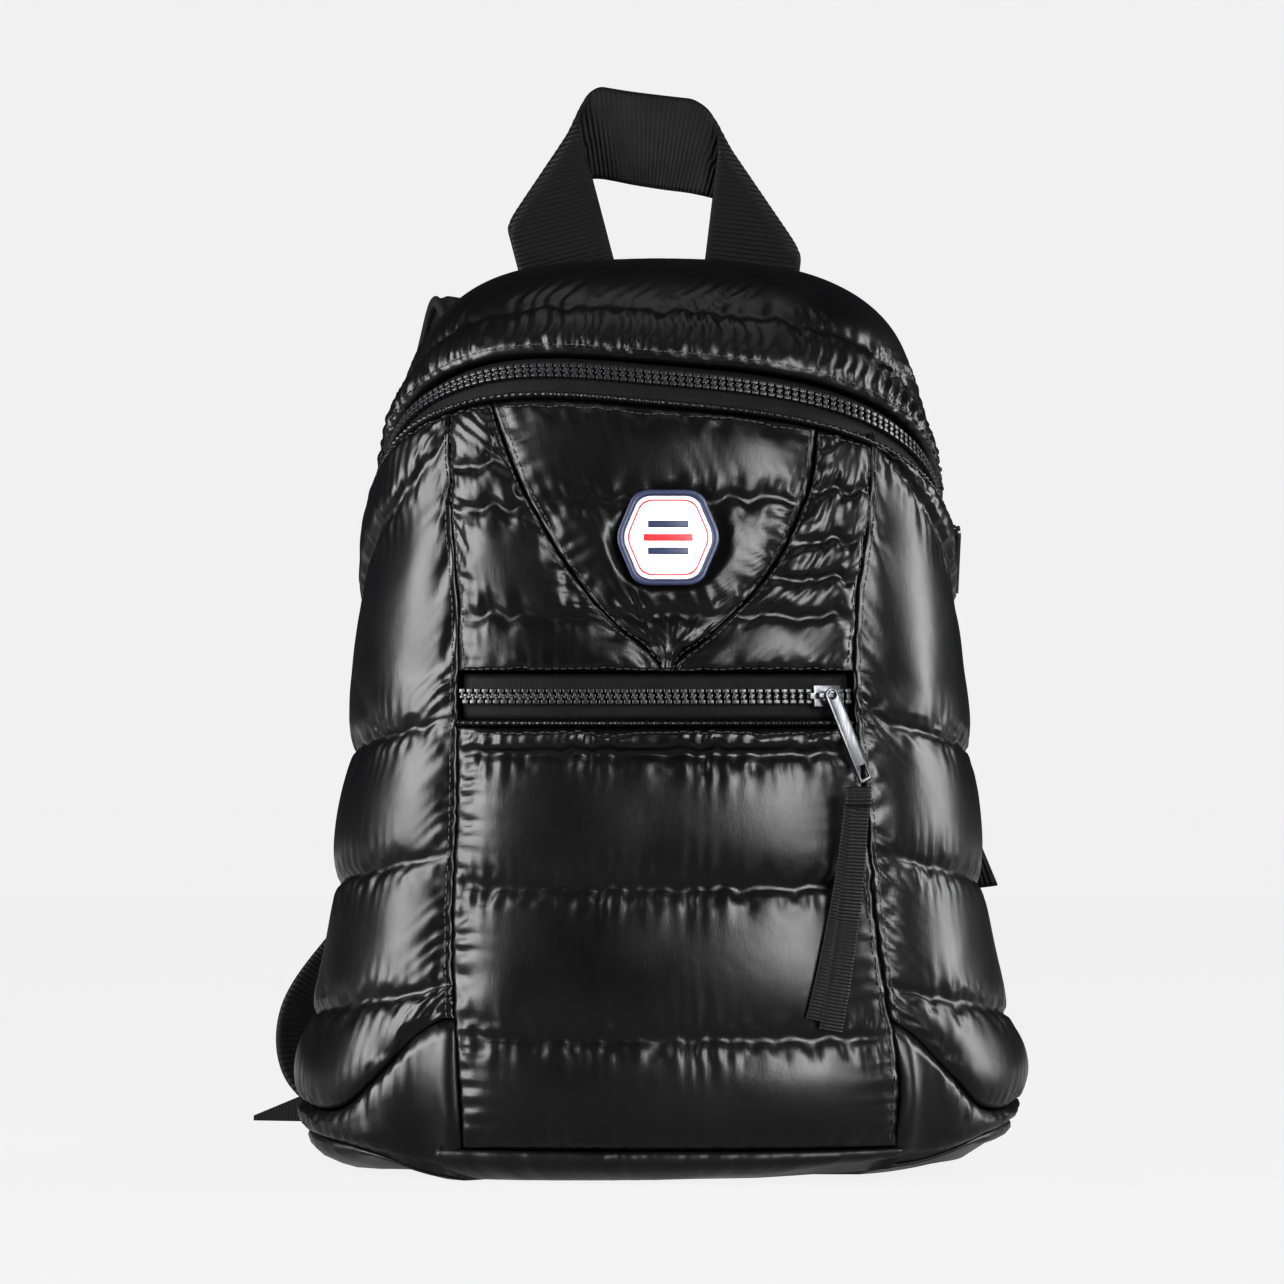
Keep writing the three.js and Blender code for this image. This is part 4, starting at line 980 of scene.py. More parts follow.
def plastic_material(name="moulded plastic", colour=(0.008, 0.008, 0.009), roughness=0.36):
    s = Shader(name, Roughness=roughness)
    grain = s.noise(700, 3)
    s.set(
        Base_Color=s.mix(s.noise(60, 2), *shades(colour, 0.8, 1.2)),
        Roughness=s.vary(grain, roughness - 0.05, roughness + 0.08),
        Normal=s.bump(grain, 0.00005, 0.5),
    )
    return s.material


def thread_material():
    s = Shader("sewing thread", Roughness=0.55)
    s.set(
        Base_Color=s.mix(s.noise(500, 2), (0.008, 0.008, 0.009), (0.02, 0.02, 0.022)),
        Roughness=s.vary(s.noise(900, 2), 0.45, 0.65),
    )
    return s.material


def ground_material(name, glow):
    """Pale paper that gives its own even light."""
    s = Shader(name, Roughness=0.9, Specular_IOR_Level=0.0)
    s.set(
        Base_Color=s.mix(s.noise(3, 2), (0.010, 0.010, 0.010), (0.013, 0.013, 0.013)),
        Roughness=s.range(s.noise(20, 2), 0, 1, 0.88, 0.94),
        Emission_Strength=glow,
    )
    s.bsdf.inputs["Emission Color"].default_value = (1, 1, 1, 1)
    return s.material


NYLON = nylon_material("glossy quilted nylon", 0.29, 0.40)
PLAIN = cloth_material("matt plain cloth", (0.005, 0.005, 0.0055))
BASE_CLOTH = nylon_material("soft base cloth", 0.38, 0.5)
MESH_CLOTH = cloth_material("spacer mesh cloth", (0.006, 0.006, 0.0065), 2.2, 0.8)
TAPE = ribbed_material("woven zip tape", (0.0035, 0.0035, 0.004), 0.9, 0.7, 0.7, 0.00012)
WEBBING = ribbed_material("ribbed webbing", (0.0022, 0.0022, 0.0025), 1.9, 1.3, 0.62, 0.0004)
RIBBON = ribbed_material("grosgrain ribbon", (0.007, 0.007, 0.0075), 1.35, 3.0, 0.5, 0.0004)
METAL = metal_material()
PLASTIC = plastic_material()
THREAD = thread_material()
NAVY = plastic_material("navy rubber", (0.010, 0.016, 0.045), 0.45)
WHITE = plastic_material("white rubber", (0.62, 0.62, 0.64), 0.45)
RED = plastic_material("red rubber", (0.42, 0.012, 0.016), 0.45)


def build_panels():
    """Puffs, presses, gathers and closes every quilted panel."""
    panels = make_panels()
    simulate(panels)
    press_under_badge(panels[0])
    for k, panel in enumerate(panels):
        panel.fine = refine(panel.points)
        gather(panel, 31 * k + 5)
        made = shell_object(panel, NYLON)
        finish_piece(made, [panel.name])
    return {panel.name: panel for panel in panels}


def sweep(name, frames, profile, material):
    """A closed body from a profile (across, out) carried along frames (point, across, out)."""
    point, across, out = frames
    profile = np.asarray(profile, float)
    if profile.ndim == 2:
        profile = np.broadcast_to(profile, (len(point), *profile.shape))
    rings = point[:, None] + across[:, None] * profile[..., :1] + out[:, None] * profile[..., 1:]
    rows, count = rings.shape[:2]
    along = np.repeat(run_length(point)[:, None], count, 1)
    lay = np.stack([profile[..., 0], along, np.zeros((rows, count))], -1)
    made = mesh_object(name, rings.reshape(-1, 3), tube_faces(rows, count), material, lay.reshape(-1, 3))
    return face_outwards(made)


def flat_profile(width, thickness, steps=8):
    """Flat section of a tape, thinner at its edges."""
    across = np.linspace(-width / 2, width / 2, steps + 1)
    lift = np.full(steps + 1, thickness / 2)
    lift[[0, -1]] *= EDGE_SHARE
    top = np.stack([across, lift], -1)
    return np.concatenate([top, np.stack([across[::-1], -lift[::-1]], -1)])


def round_profile(width, height, count, across_power, out_power):
    """Round section, boxier where its powers are under 1."""
    angle = np.linspace(0, 2 * math.pi, count, endpoint=False)
    c = np.cos(angle)
    s = np.sin(angle)
    across = np.sign(c) * np.abs(c) ** across_power
    out = np.sign(s) * np.abs(s) ** out_power
    return np.stack([width / 2 * across, height / 2 * out], -1)


def frames_along(place, count, shift=0.0, lift=0.0, start=0.0, end=1.0):
    """Frames along place(t) -> points on the body surface."""
    t = np.linspace(start, end, count)
    point = place(t)
    normal = body_normal(point)
    ahead = place(np.clip(t + 0.003, 0, 1))
    behind = place(np.clip(t - 0.003, 0, 1))
    along = unit(ahead - behind)
    across = unit(np.cross(normal, along))
    across = np.where(across[:, 2:] < 0, -across, across)
    return point + across * shift + normal * lift, across, normal


def main_zip_place(t, end=ZIP_END):
    """The main zip's middle line, from end to end."""
    share = -end + 2 * end * np.asarray(t, float)
    return surface(zip_level(share), share)


def main_tape_place(t):
    """The main zip's tape runs on to the back seam."""
    return main_zip_place(t, TAPE_END)


POCKET_LEVEL = at_height(ZIP_HEIGHT)
POCKET_INSET = 0.006


def pocket_zip_place(t):
    """The pocket zip's middle line, from seam to seam."""
    level = float(POCKET_LEVEL(0.0))
    low = float(seam("left")(level)) + POCKET_INSET
    high = float(seam("right")(level)) - POCKET_INSET
    share = low + (high - low) * np.asarray(t, float)
    return surface(POCKET_LEVEL(share), share)


def rounded_block(width, length, height, edge=0.35, name="block"):
    """A small block with bevelled edges, as mesh data in metres: x across, y along, z out."""
    work = bmesh.new()
    bmesh.ops.create_cube(work, size=1)
    bmesh.ops.scale(work, vec=(width * M, length * M, height * M), verts=work.verts)
    bmesh.ops.bevel(work, geom=work.edges[:], offset=edge * M, segments=2, profile=0.6, affect="EDGES")
    mesh = bpy.data.meshes.new(name)
    work.to_mesh(mesh)
    work.free()
    shade(mesh)
    return mesh


def repeat_group():
    """Geometry nodes: copies of a piece along a path, turned to it, at a spacing."""
    group = bpy.data.node_groups.new("repeat along path", "GeometryNodeTree")
    inputs = {"Path": "Geometry", "Piece": "Object", "Spacing": "Float", "Finish": "Material"}
    for name, kind in inputs.items():
        group.interface.new_socket(name, in_out="INPUT", socket_type="NodeSocket" + kind)
    group.interface.new_socket("Pieces", in_out="OUTPUT", socket_type="NodeSocketGeometry")

    def node(kind, **properties):
        made = group.nodes.new(kind)
        for key, value in properties.items():
            setattr(made, key, value)
        return made

    source = node("NodeGroupInput")
    target = node("NodeGroupOutput")
    curve = node("GeometryNodeMeshToCurve")
    resample = node("GeometryNodeResampleCurve", mode="LENGTH")
    piece = node("GeometryNodeObjectInfo")
    instance = node("GeometryNodeInstanceOnPoints")
    out = node("GeometryNodeInputNamedAttribute", data_type="FLOAT_VECTOR")
    out.inputs["Name"].default_value = "out"
    tangent = node("GeometryNodeInputTangent")
    turn_out = node("FunctionNodeAlignRotationToVector", axis="Z")
    turn_along = node("FunctionNodeAlignRotationToVector", axis="Y", pivot_axis="Z")
    realize = node("GeometryNodeRealizeInstances")
    finish = node("GeometryNodeSetMaterial")
    for start, output, end, entry in (
        (source, "Path", curve, "Mesh"),
        (curve, "Curve", resample, "Curve"),
        (source, "Spacing", resample, "Length"),
        (source, "Piece", piece, "Object"),
        (resample, "Curve", instance, "Points"),
        (piece, "Geometry", instance, "Instance"),
        (out, "Attribute", turn_out, "Vector"),
        (turn_out, "Rotation", turn_along, "Rotation"),
        (tangent, "Tangent", turn_along, "Vector"),
        (turn_along, "Rotation", instance, "Rotation"),
        (instance, "Instances", realize, "Geometry"),
        (realize, "Geometry", finish, "Geometry"),
        (source, "Finish", finish, "Material"),
        (finish, "Geometry", target, "Pieces"),
    ):
        group.links.new(start.outputs[output], end.inputs[entry])
    return group


REPEAT = repeat_group()


def repeat_along(name, paths, piece_mesh, spacing, material):
    """One plain mesh of copies of a small piece along one or more paths of (points, normals)."""
    points = np.concatenate([path for path, _ in paths])
    outs = np.concatenate([normals for _, normals in paths])
    edges = []
    start = 0
    for path, _ in paths:
        edges += [(start + k, start + k + 1) for k in range(len(path) - 1)]
        start += len(path)
    mesh = bpy.data.meshes.new(name + " path")
    mesh.from_pydata((points * M).tolist(), edges, [])
    attribute = mesh.attributes.new("out", "FLOAT_VECTOR", "POINT")
    attribute.data.foreach_set("vector", outs.astype(np.float32).ravel())
    path_object = add_object(name + " path", mesh)
    piece = add_object(name + " piece", piece_mesh)
    modifier = path_object.modifiers.new("repeat", "NODES")
    modifier.node_group = REPEAT
    values = {"Piece": piece, "Spacing": spacing * M, "Finish": material}
    for item in REPEAT.interface.items_tree:
        if item.item_type == "SOCKET" and item.in_out == "INPUT" and item.name in values:
            modifier[item.identifier] = values[item.name]
    bpy.context.view_layer.update()
    shaped = path_object.evaluated_get(bpy.context.evaluated_depsgraph_get())
    result = bpy.data.meshes.new_from_object(shaped)
    result.name = name
    shade(result)
    made = add_object(name, result)
    bpy.data.objects.remove(path_object)
    bpy.data.objects.remove(piece)
    return made


# Foot, neck and head of a tooth: width, length, height and how far each sits from the middle line
TOOTH_PARTS = ((1.7, 2.5, 1.9, 2.1), (1.9, 1.0, 1.6, 0.9), (1.3, 1.75, 1.9, -0.3))


def tooth_mesh(side):
    """Moulded zip tooth: a broad foot on its own tape, a neck, and a head past the middle line."""
    mesh = bpy.data.meshes.new("tooth")
    work = bmesh.new()
    for width, length, height, shift in TOOTH_PARTS:
        block = rounded_block(width, length, height, 0.3, "tooth")
        block.transform(Matrix.Translation((side * shift * M, 0, 0)))
        work.from_mesh(block)
    work.to_mesh(mesh)
    work.free()
    shade(mesh)
    return mesh


def build_teeth(name, place, count):
    """Two rows of teeth, half a pitch apart."""
    lift = (TAPE_THICKNESS + CHAIN_THICKNESS) / 2 + FIT_GAP - TAPE_RECESS
    middle_line, _, _ = frames_along(place, count, 0, lift)
    half_pitch = TOOTH_PITCH / 2 / run_length(middle_line)[-1]
    for row, side, extra in (("lower", -1, 0), ("upper", 1, half_pitch)):
        point, _, out = frames_along(place, count, 0, lift, 0.004 + extra, 0.994)
        made = repeat_along(f"{name}_teeth_{row}", [(point, out)], tooth_mesh(side), TOOTH_PITCH, PLASTIC)
        finish_piece(made, [name + "_chain"] if side < 0 else [])


def build_piping(name, place, shift, count):
    """The panel's folded edge below the tape, puckered at every stitch."""
    rolled = frames_along(place, count, shift, -PIPING * 0.5)
    along = run_length(rolled[0])
    pucker = 1 + 0.10 * np.cos(along * 2 * math.pi / STITCH_PITCH) + 0.08 * noise_wave(along * 0.5, 8)
    section = round_profile(PIPING, 2 * PIPING, 14, PIPING_POWER, PIPING_POWER)
    made = sweep(name + "_piping_cloth", rolled, section[None] * pucker[:, None, None], NYLON)
    finish_piece(made, [name + "_piping"])


def build_zip(name, place, tape_place, width, middle, piping_shift, count):
    """Tape, teeth and piping of one zip."""
    frames = frames_along(tape_place, count, middle, -TAPE_RECESS)
    tape = sweep(name + "_tape_cloth", frames, flat_profile(width - 0.3, TAPE_THICKNESS), TAPE)
    finish_piece(tape, [name + "_tape"])
    build_teeth(name, place, 8 * count)
    build_piping(name, tape_place, piping_shift, 9 * count)


def build_zips():
    middle = (TAPE_TOP + TAPE_BOTTOM) / 2
    build_zip("main_zip", main_zip_place, main_tape_place, TAPE_WIDTH, middle,
              TAPE_BOTTOM - FIT_GAP / 2 - PIPING / 2, 90)
    build_zip("pocket_zip", pocket_zip_place, pocket_zip_place, POCKET_TAPE, 0,
              -POCKET_TAPE / 2 - FIT_GAP / 2 - PIPING / 2, 40)


YOKES = ("yoke_center", "yoke_left", "yoke_right")
STITCH_LIFT = 0.12
STITCH_SIZE = (0.55, 2.1, 0.45)

# Seams with a topstitch: panel, row or column of its grid, which one, and how far from its ends it stops
SEWN_LINES = [(name, "row", k, 3) for name in YOKES for k in (2, -3)]
SEWN_LINES += [(name, "column", k, 3) for name in YOKES for k in (2, -3)]
SEWN_LINES += [
    ("pocket_panel", "column", -3, 3),
    ("pocket_panel", "row", -3, 3),
    ("side_panel_left", "column", -3, 3),
    ("side_panel_right", "column", 2, 3),
    ("side_panel_left", "row", -3, 3),
    ("side_panel_right", "row", -3, 3),
    ("top_gusset", "row", 2, 6),
]


def stitch_path(name, way, k, inset):
    """Points and normals of a topstitch; a negative k counts from the panel's top or right."""
    points = PANELS[name].fine
    normal = grid_normal(points)
    if way == "column":
        points = points.swapaxes(0, 1)
        normal = normal.swapaxes(0, 1)
    line = points[k][inset:-inset]
    out = normal[k][inset:-inset]
    return line + out * STITCH_LIFT, out


def build_stitches():
    """Topstitching beside the seams, as single stitches of thread."""
    paths = [stitch_path(*line) for line in SEWN_LINES]
    stitch = rounded_block(*STITCH_SIZE, 0.2, "stitch")
    finish_piece(repeat_along("seam_stitches", paths, stitch, STITCH_PITCH, THREAD))


def rounded_copy(node, material, edge):
    """The CAD node's own shape with its edges rounded, standing for it."""
    work = bmesh.new()
    work.from_mesh(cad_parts[node].data)
    bmesh.ops.remove_doubles(work, verts=work.verts, dist=1e-6)
    bmesh.ops.dissolve_limit(work, angle_limit=math.radians(2), verts=work.verts, edges=work.edges)
    sharp = [e for e in work.edges if len(e.link_faces) == 2 and e.calc_face_angle(0) > math.radians(28)]
    bmesh.ops.bevel(work, geom=sharp, offset=edge * M, segments=2, profile=0.6, affect="EDGES",
                    clamp_overlap=True)
    mesh = bpy.data.meshes.new(node + "_rounded")
    work.to_mesh(mesh)
    work.free()
    mesh.materials.clear()
    mesh.materials.append(material)
    shade(mesh)
    mesh.polygons.foreach_set("material_index", [0] * len(mesh.polygons))
    return finish_piece(add_object(node + "_rounded", mesh), [node])


def build_hard_pieces():
    """Sliders, pullers and locks."""
    for node in ("pocket_zip_slider", "main_zip_slider", "pocket_zip_puller", "main_zip_puller"):
        rounded_copy(node, METAL, 0.22)
    for node in ("ladder_lock_left", "ladder_lock_right"):
        rounded_copy(node, PLASTIC, 0.6)


# Ribbon pull: how far below the puller each tail starts, its length, its lean and its stand-off
RIBBON_WIDTH = 9.0
RIBBON_THICKNESS = 1.0
RIBBON_WAVE = 1.7
FRONT_TAIL = {"offset": (0, 0, -5), "length": 90, "lean": 10.6, "lift": 2.4, "twist": 0.0}
BACK_TAIL = {"offset": (-0.5, 0, -6), "length": 85, "lean": 15.4, "lift": 1.0, "twist": 0.12}


def cloth_front(x, z):
    """How far forward the finished cloth comes near each x and z, smoothed."""
    cloth = np.concatenate([PANELS[n].fine.reshape(-1, 3) for n in ("pocket_panel", "side_panel_right")])
    cloth = cloth[(cloth[:, 1] < 0) & (cloth[:, 0] > 30)]
    found = []
    for a, c in zip(x, z):
        near = cloth[(np.abs(cloth[:, 0] - a) < 6) & (np.abs(cloth[:, 2] - c) < 4)]
        found.append(near[:, 1].min())
    return np.minimum(evened(found, 23), np.array(found) + 0.6)


def hinted_frames(point, hint):
    """Frames along a free path, with the width turned towards hint."""
    along = unit(np.gradient(point, axis=0))
    across = unit(hint - along * (hint * along).sum(-1, keepdims=True))
    return point, across, np.cross(across, along)


def ribbon_tail(name, top, offset, length, lean, lift, twist, nodes=()):
    """One tail of the ribbon, hanging over the cloth below the puller."""
    start = top + np.array(offset)
    t = np.linspace(0, 1, 140)
    x = start[0] - lean * t + RIBBON_WAVE * np.sin(math.pi * t)
    z = start[2] - length * t
    y = np.minimum(start[1] + 8 * t, cloth_front(x, z) - lift)
    hint = np.stack([np.cos(twist * t), np.sin(twist * t) + 0.1, 0 * t], -1)
    frames = hinted_frames(np.stack([x, y, z], -1), hint)
    made = sweep(name, frames, flat_profile(RIBBON_WIDTH, RIBBON_THICKNESS), RIBBON)
    finish_piece(made, nodes)


def build_ribbon():
    """The pocket's pull: two ribbon tails and the wrap that holds them to the puller."""
    low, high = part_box("pocket_ribbon_pull")
    top = np.array([high.x / M - 9.5, low.y / M + 2.6, high.z / M])
    ribbon_tail("ribbon_front_tail", top, **FRONT_TAIL, nodes=["pocket_ribbon_pull"])
    ribbon_tail("ribbon_back_tail", top, **BACK_TAIL)
    t = np.linspace(-0.4, math.pi + 0.5, 26)
    y = top[1] - 1.62 * np.sin(t - 0.2)
    z = top[2] - 1.5 - 3.25 * (1 - np.cos(t))
    frames = hinted_frames(np.stack([top[0] + 0 * t, y, z], -1), np.array([1.0, 0.0, 0.0]))
    knot = sweep("ribbon_knot", frames, flat_profile(RIBBON_WIDTH + 1, 1.5), RIBBON)
    finish_piece(knot)


# Handle: a flat strap folded over a slanting ridge at each side
HANDLE_WIDTH = 39.0
HANDLE_THICKNESS = 2.0
HANDLE_Y = 46.0
HANDLE_FOLD = 4.0

# Ends of the folds, points of the arch and edges of the legs, as x and z
RIDGE_LEFT = ((-59.9, 374.3), (-30.9, 417.5))
RIDGE_RIGHT = ((58.9, 361.5), (24.7, 411.5))
LEG_LEAN = {-1: 0.254, 1: 0.12}
LEG_LENGTH = 84.0
HALF_MIDDLE = 56.0
MIDDLE_BLEND = 26.0
ARCH_START = 13.0
HANDLE_ARCH = np.array([[-45, 415], [-28, 420], [-10, 416.5], [5, 414.5], [20, 413], [35, 409]])
LEG_EDGES = (-62.5, 60.8)
LEG_GAP = 1.0
INSIDE_BODY = 200.0
RIB_PITCH = 1.9
RIB_HEIGHT = 0.3


def folded_side(s, w, ridge, side):
    """One half of the strap: points, and how far each is past the fold, 0 to 1.

    s runs from the ridge's middle, below 0 down the leg.
    """
    low, high = (np.array(p) for p in ridge)
    axis = (high - low) / np.linalg.norm(high - low)
    away = np.array([-axis[1], axis[0]]) if side < 0 else np.array([axis[1], -axis[0]])
    lean = LEG_LEAN[side]
    leg_way = np.array([side * lean, math.sqrt(1 - lean ** 2)])
    leg_across = np.array([leg_way[1], -leg_way[0]]) * -side
    flat = s[..., None] * leg_way + w[..., None] * leg_across
    along_ridge = flat @ axis
    past = flat @ away
    turn = math.pi * HANDLE_FOLD
    angle = np.clip(past / HANDLE_FOLD, 0, math.pi)
    beyond = np.where(past > turn, turn - past, HANDLE_FOLD * np.sin(angle))
    inward = np.where(past < 0, past, beyond)
    depth = HANDLE_FOLD * (1 - np.cos(angle))
    plane = (low + high) / 2 + along_ridge[..., None] * axis + inward[..., None] * away
    inner = np.clip(w / (HANDLE_WIDTH / 2), 0, 1)
    free = np.clip((past - turn * (1 - 0.85 * inner)) / ARCH_START, 0, 1)
    return np.stack([plane[..., 0], HANDLE_Y + depth, plane[..., 1]], -1), ease(free)


def handle_middle(s, w):
    """Points of the strap's middle layer: two folded sides, blended, with the arch between them."""
    left, left_free = folded_side(s, w, RIDGE_LEFT, -1)
    right, right_free = folded_side(2 * HALF_MIDDLE - s, w, RIDGE_RIGHT, 1)
    blend = ease(np.clip((s - HALF_MIDDLE + MIDDLE_BLEND) / (2 * MIDDLE_BLEND), 0, 1))
    points = left * (1 - blend[..., None]) + right * blend[..., None]
    centre = points[:, w.shape[1] // 2]
    arch = np.interp(centre[:, 0], HANDLE_ARCH[:, 0], HANDLE_ARCH[:, 1]) - centre[:, 2]
    points[..., 2] += np.minimum(left_free, right_free) * evened(arch, 47)[:, None]
    return points


def body_top(points):
    """Height of the body's top right above or below each point."""
    origin = points.copy()
    origin[..., 2] = INSIDE_BODY
    return reach(origin, np.array([0, 0, 1.0])) + INSIDE_BODY


def build_handle():
    """The top handle: ribbed webbing with its legs running into the top of the bag."""
    steps = int((LEG_LENGTH + HALF_MIDDLE) * 2 / RIB_PITCH * 5)
    s = np.linspace(-LEG_LENGTH, 2 * HALF_MIDDLE + LEG_LENGTH, steps)
    w = np.linspace(-HANDLE_WIDTH / 2, HANDLE_WIDTH / 2, 23)
    s_grid, w_grid = np.meshgrid(s, w, indexing="ij")
    points = handle_middle(s_grid, w_grid)
    normal = unit(np.cross(np.gradient(points, axis=0), np.gradient(points, axis=1)))
    rib = RIB_HEIGHT * (np.abs(np.sin(s_grid * math.pi / RIB_PITCH)) - 0.5)
    edge = 1 - 0.75 * (np.abs(w_grid) / (HANDLE_WIDTH / 2)) ** 12
    half = (HANDLE_THICKNESS / 2 + rib) * edge
    top = body_top(points)
    sides = []
    for way in (1, -1):
        side = points + way * normal * half[..., None]
        side[..., 0] = np.clip(side[..., 0], *LEG_EDGES)
        side[..., 2] = np.maximum(side[..., 2], top + LEG_GAP)
        sides.append(side[:, ::way])
    rings = np.concatenate(sides, axis=1)
    count = rings.shape[1]
    around = np.concatenate([w_grid, w_grid[:, ::-1]], 1)
    lay = np.stack([around, np.repeat(s[:, None], count, 1), np.zeros((steps, count))], -1)
    above = np.nonzero((points[..., 2] > top + LEG_GAP / 2).any(1))[0]
    keep = slice(above[0], above[-1] + 1)
    faces = tube_faces(len(rings[keep]), count)
    made = mesh_object("handle_strap", rings[keep].reshape(-1, 3), faces, WEBBING, lay[keep].reshape(-1, 3))
    finish_piece(face_outwards(made), ["top_handle"])


# Shoulder straps, their webbing and the anchor tabs
def spline(points, count):
    """Smooth curve through points, by even chord length."""
    points = np.asarray(points, float)
    chord = np.concatenate([[0], np.cumsum(np.sqrt(np.linalg.norm(np.diff(points, axis=0), axis=1)))])
    padded = np.concatenate([2 * points[:1] - points[1:2], points, 2 * points[-1:] - points[-2:-1]])
    knots = np.concatenate([[2 * chord[0] - chord[1]], chord, [2 * chord[-1] - chord[-2]]])
    t = np.linspace(chord[0], chord[-1], count)
    k = np.clip(np.searchsorted(chord, t, side="right") - 1, 0, len(points) - 2)
    p0, p1, p2, p3 = (padded[k + i] for i in range(4))
    t0, t1, t2, t3 = (knots[k + i] for i in range(4))
    c = t[:, None]
    t0, t1, t2, t3 = (v[:, None] for v in (t0, t1, t2, t3))
    a1 = (t1 - c) / (t1 - t0) * p0 + (c - t0) / (t1 - t0) * p1
    a2 = (t2 - c) / (t2 - t1) * p1 + (c - t1) / (t2 - t1) * p2
    a3 = (t3 - c) / (t3 - t2) * p2 + (c - t2) / (t3 - t2) * p3
    b1 = (t2 - c) / (t2 - t0) * a1 + (c - t0) / (t2 - t0) * a2
    b2 = (t3 - c) / (t3 - t1) * a2 + (c - t1) / (t3 - t1) * a3
    return (t2 - c) / (t2 - t1) * b1 + (c - t1) / (t2 - t1) * b2


# Each point: out, behind the back and up, as shares of the span, the reach and the body's height
STRAP_PATHS = {
    "left": [
        [0.52, 0.17, 0.780], [0.54, 0.17, 0.850], [0.60, 0.22, 0.915], [0.66, 0.46, 0.958],
        [0.71, 0.78, 0.960], [0.76, 1.04, 0.920], [0.82, 1.13, 0.850], [0.88, 1.12, 0.740],
        [0.93, 1.02, 0.610], [0.97, 0.88, 0.490], [1.02, 0.74, 0.380],
    ],
    "right": [
        [0.50, 0.17, 0.780], [0.51, 0.17, 0.840], [0.54, 0.22, 0.895], [0.58, 0.46, 0.932],
        [0.62, 0.78, 0.932], [0.67, 1.04, 0.896], [0.74, 1.13, 0.830], [0.82, 1.12, 0.730],
        [0.89, 1.02, 0.610], [0.94, 0.88, 0.490], [0.97, 0.74, 0.380],
    ],
}
STRAP_SPAN = 98.0
STRAP_REACH = 32.0
BACK_PUFF = 3.0
STRAP_WIDTH = 52.0
STRAP_END_WIDTH = 40.0
STRAP_THICKNESS = 9.0
STRAP_ROWS = 120


def strap_point(side, out, behind, up):
    """A point given as shares of the straps' span, their reach behind the back and the body's height."""
    return [side * out * STRAP_SPAN, BACK_DEPTH + BACK_PUFF + behind * STRAP_REACH, up * BODY_HEIGHT]


def build_straps():
    """Padded straps with a pinched seam along both edges."""
    for name, side in (("left", -1), ("right", 1)):
        points = [strap_point(side, *place) for place in STRAP_PATHS[name]]
        frames = hinted_frames(spline(points, STRAP_ROWS), np.array([1.0, 0.0, 0.0]))
        t = np.linspace(0, 1, STRAP_ROWS)
        width = STRAP_WIDTH + (STRAP_END_WIDTH - STRAP_WIDTH) * t ** 2
        section = round_profile(2, STRAP_THICKNESS, 40, 0.35, 0.6)
        across = section[:, 0]
        pinch = 1 - 0.45 * np.exp(-((np.abs(across) - 0.86) / 0.05) ** 2)
        out = np.broadcast_to(section[:, 1] * pinch, (STRAP_ROWS, len(section)))
        profile = np.stack([width[:, None] / 2 * across[None, :], out], -1)
        made = sweep(f"shoulder_strap_{name}_cloth", frames, profile, MESH_CLOTH)
        finish_piece(made, [f"shoulder_strap_{name}"])


WEBBING_WIDTH = 25.0
WEBBING_THICKNESS = 1.8
WEBBING_PATHS = {
    "left": [[1.30, 0.60, 0.220], [1.47, 0.42, 0.150], [1.46, 0.24, 0.098]],
    "right": [[1.06, 0.56, 0.220], [1.16, 0.38, 0.150], [1.22, 0.24, 0.104]],
}
ANCHOR_OUT = 127.0
ANCHOR_HEIGHT = 19.0

# Loose end: its tip as x and z, the way its edge runs there, and its widths
TAIL_END = (137.8, 117.7)
TAIL_END_EDGE = (-0.385, 0.923)
TAIL_END_WIDTH = 18.5
TAIL_WIDTH = 24.0


def build_strap_webbing(name, side):
    """The adjusting webbing from one lock down to its anchor tab."""
    low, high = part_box(f"ladder_lock_{name}")
    start = [(low.x + high.x) / 2 / M, (low.y + high.y) / 2 / M, low.z / M + 1]
    path = [start, [start[0], start[1], start[2] - 6]]
    path += [strap_point(side, *place) for place in WEBBING_PATHS[name]]
    path.append([side * ANCHOR_OUT, BACK_DEPTH + BACK_PUFF + 1.4, ANCHOR_HEIGHT])
    t = np.linspace(0, 1, STRAP_ROWS)
    hint = np.stack([1 + 0 * t, -side * 0.3 * t, 0 * t], -1)
    frames = hinted_frames(spline(path, STRAP_ROWS), hint)
    made = sweep(f"strap_webbing_{name}_cloth", frames, flat_profile(WEBBING_WIDTH, WEBBING_THICKNESS, 12),
                 WEBBING)
    finish_piece(made, [f"strap_webbing_{name}"])


def build_tail():
    """The loose end of the right webbing, turning edge-on and narrowing towards its tip."""
    low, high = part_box("webbing_tail")
    t = np.linspace(0, 1, 40)
    x = low.x / M + (TAIL_END[0] - low.x / M) * t
    y = high.y / M - 1.5 + (low.y - high.y + 0.003) / M * t
    z = TAIL_END[1] - 0.7 * (1 - t) + 1.2 * np.sin(math.pi * t)
    point = np.stack([x, y, z], -1)
    late = t ** 3
    end = np.array([TAIL_END_EDGE[0], 0, TAIL_END_EDGE[1]])
    across = unit(np.array([0, 0, 1.0]) * (1 - late[:, None]) + end * late[:, None])
    out = unit(np.cross(across, unit(np.gradient(point, axis=0))))
    width = TAIL_WIDTH + (TAIL_END_WIDTH - TAIL_WIDTH) * late
    size = np.stack([width, 0 * t + WEBBING_THICKNESS], -1)
    profile = flat_profile(1.0, 1.0, 12)[None] * size[:, None]
    made = sweep("webbing_tail_cloth", (point, across, out), profile, WEBBING)
    finish_piece(made, ["webbing_tail"])


def build_webbing():
    build_strap_webbing("left", -1)
    build_strap_webbing("right", 1)
    build_tail()


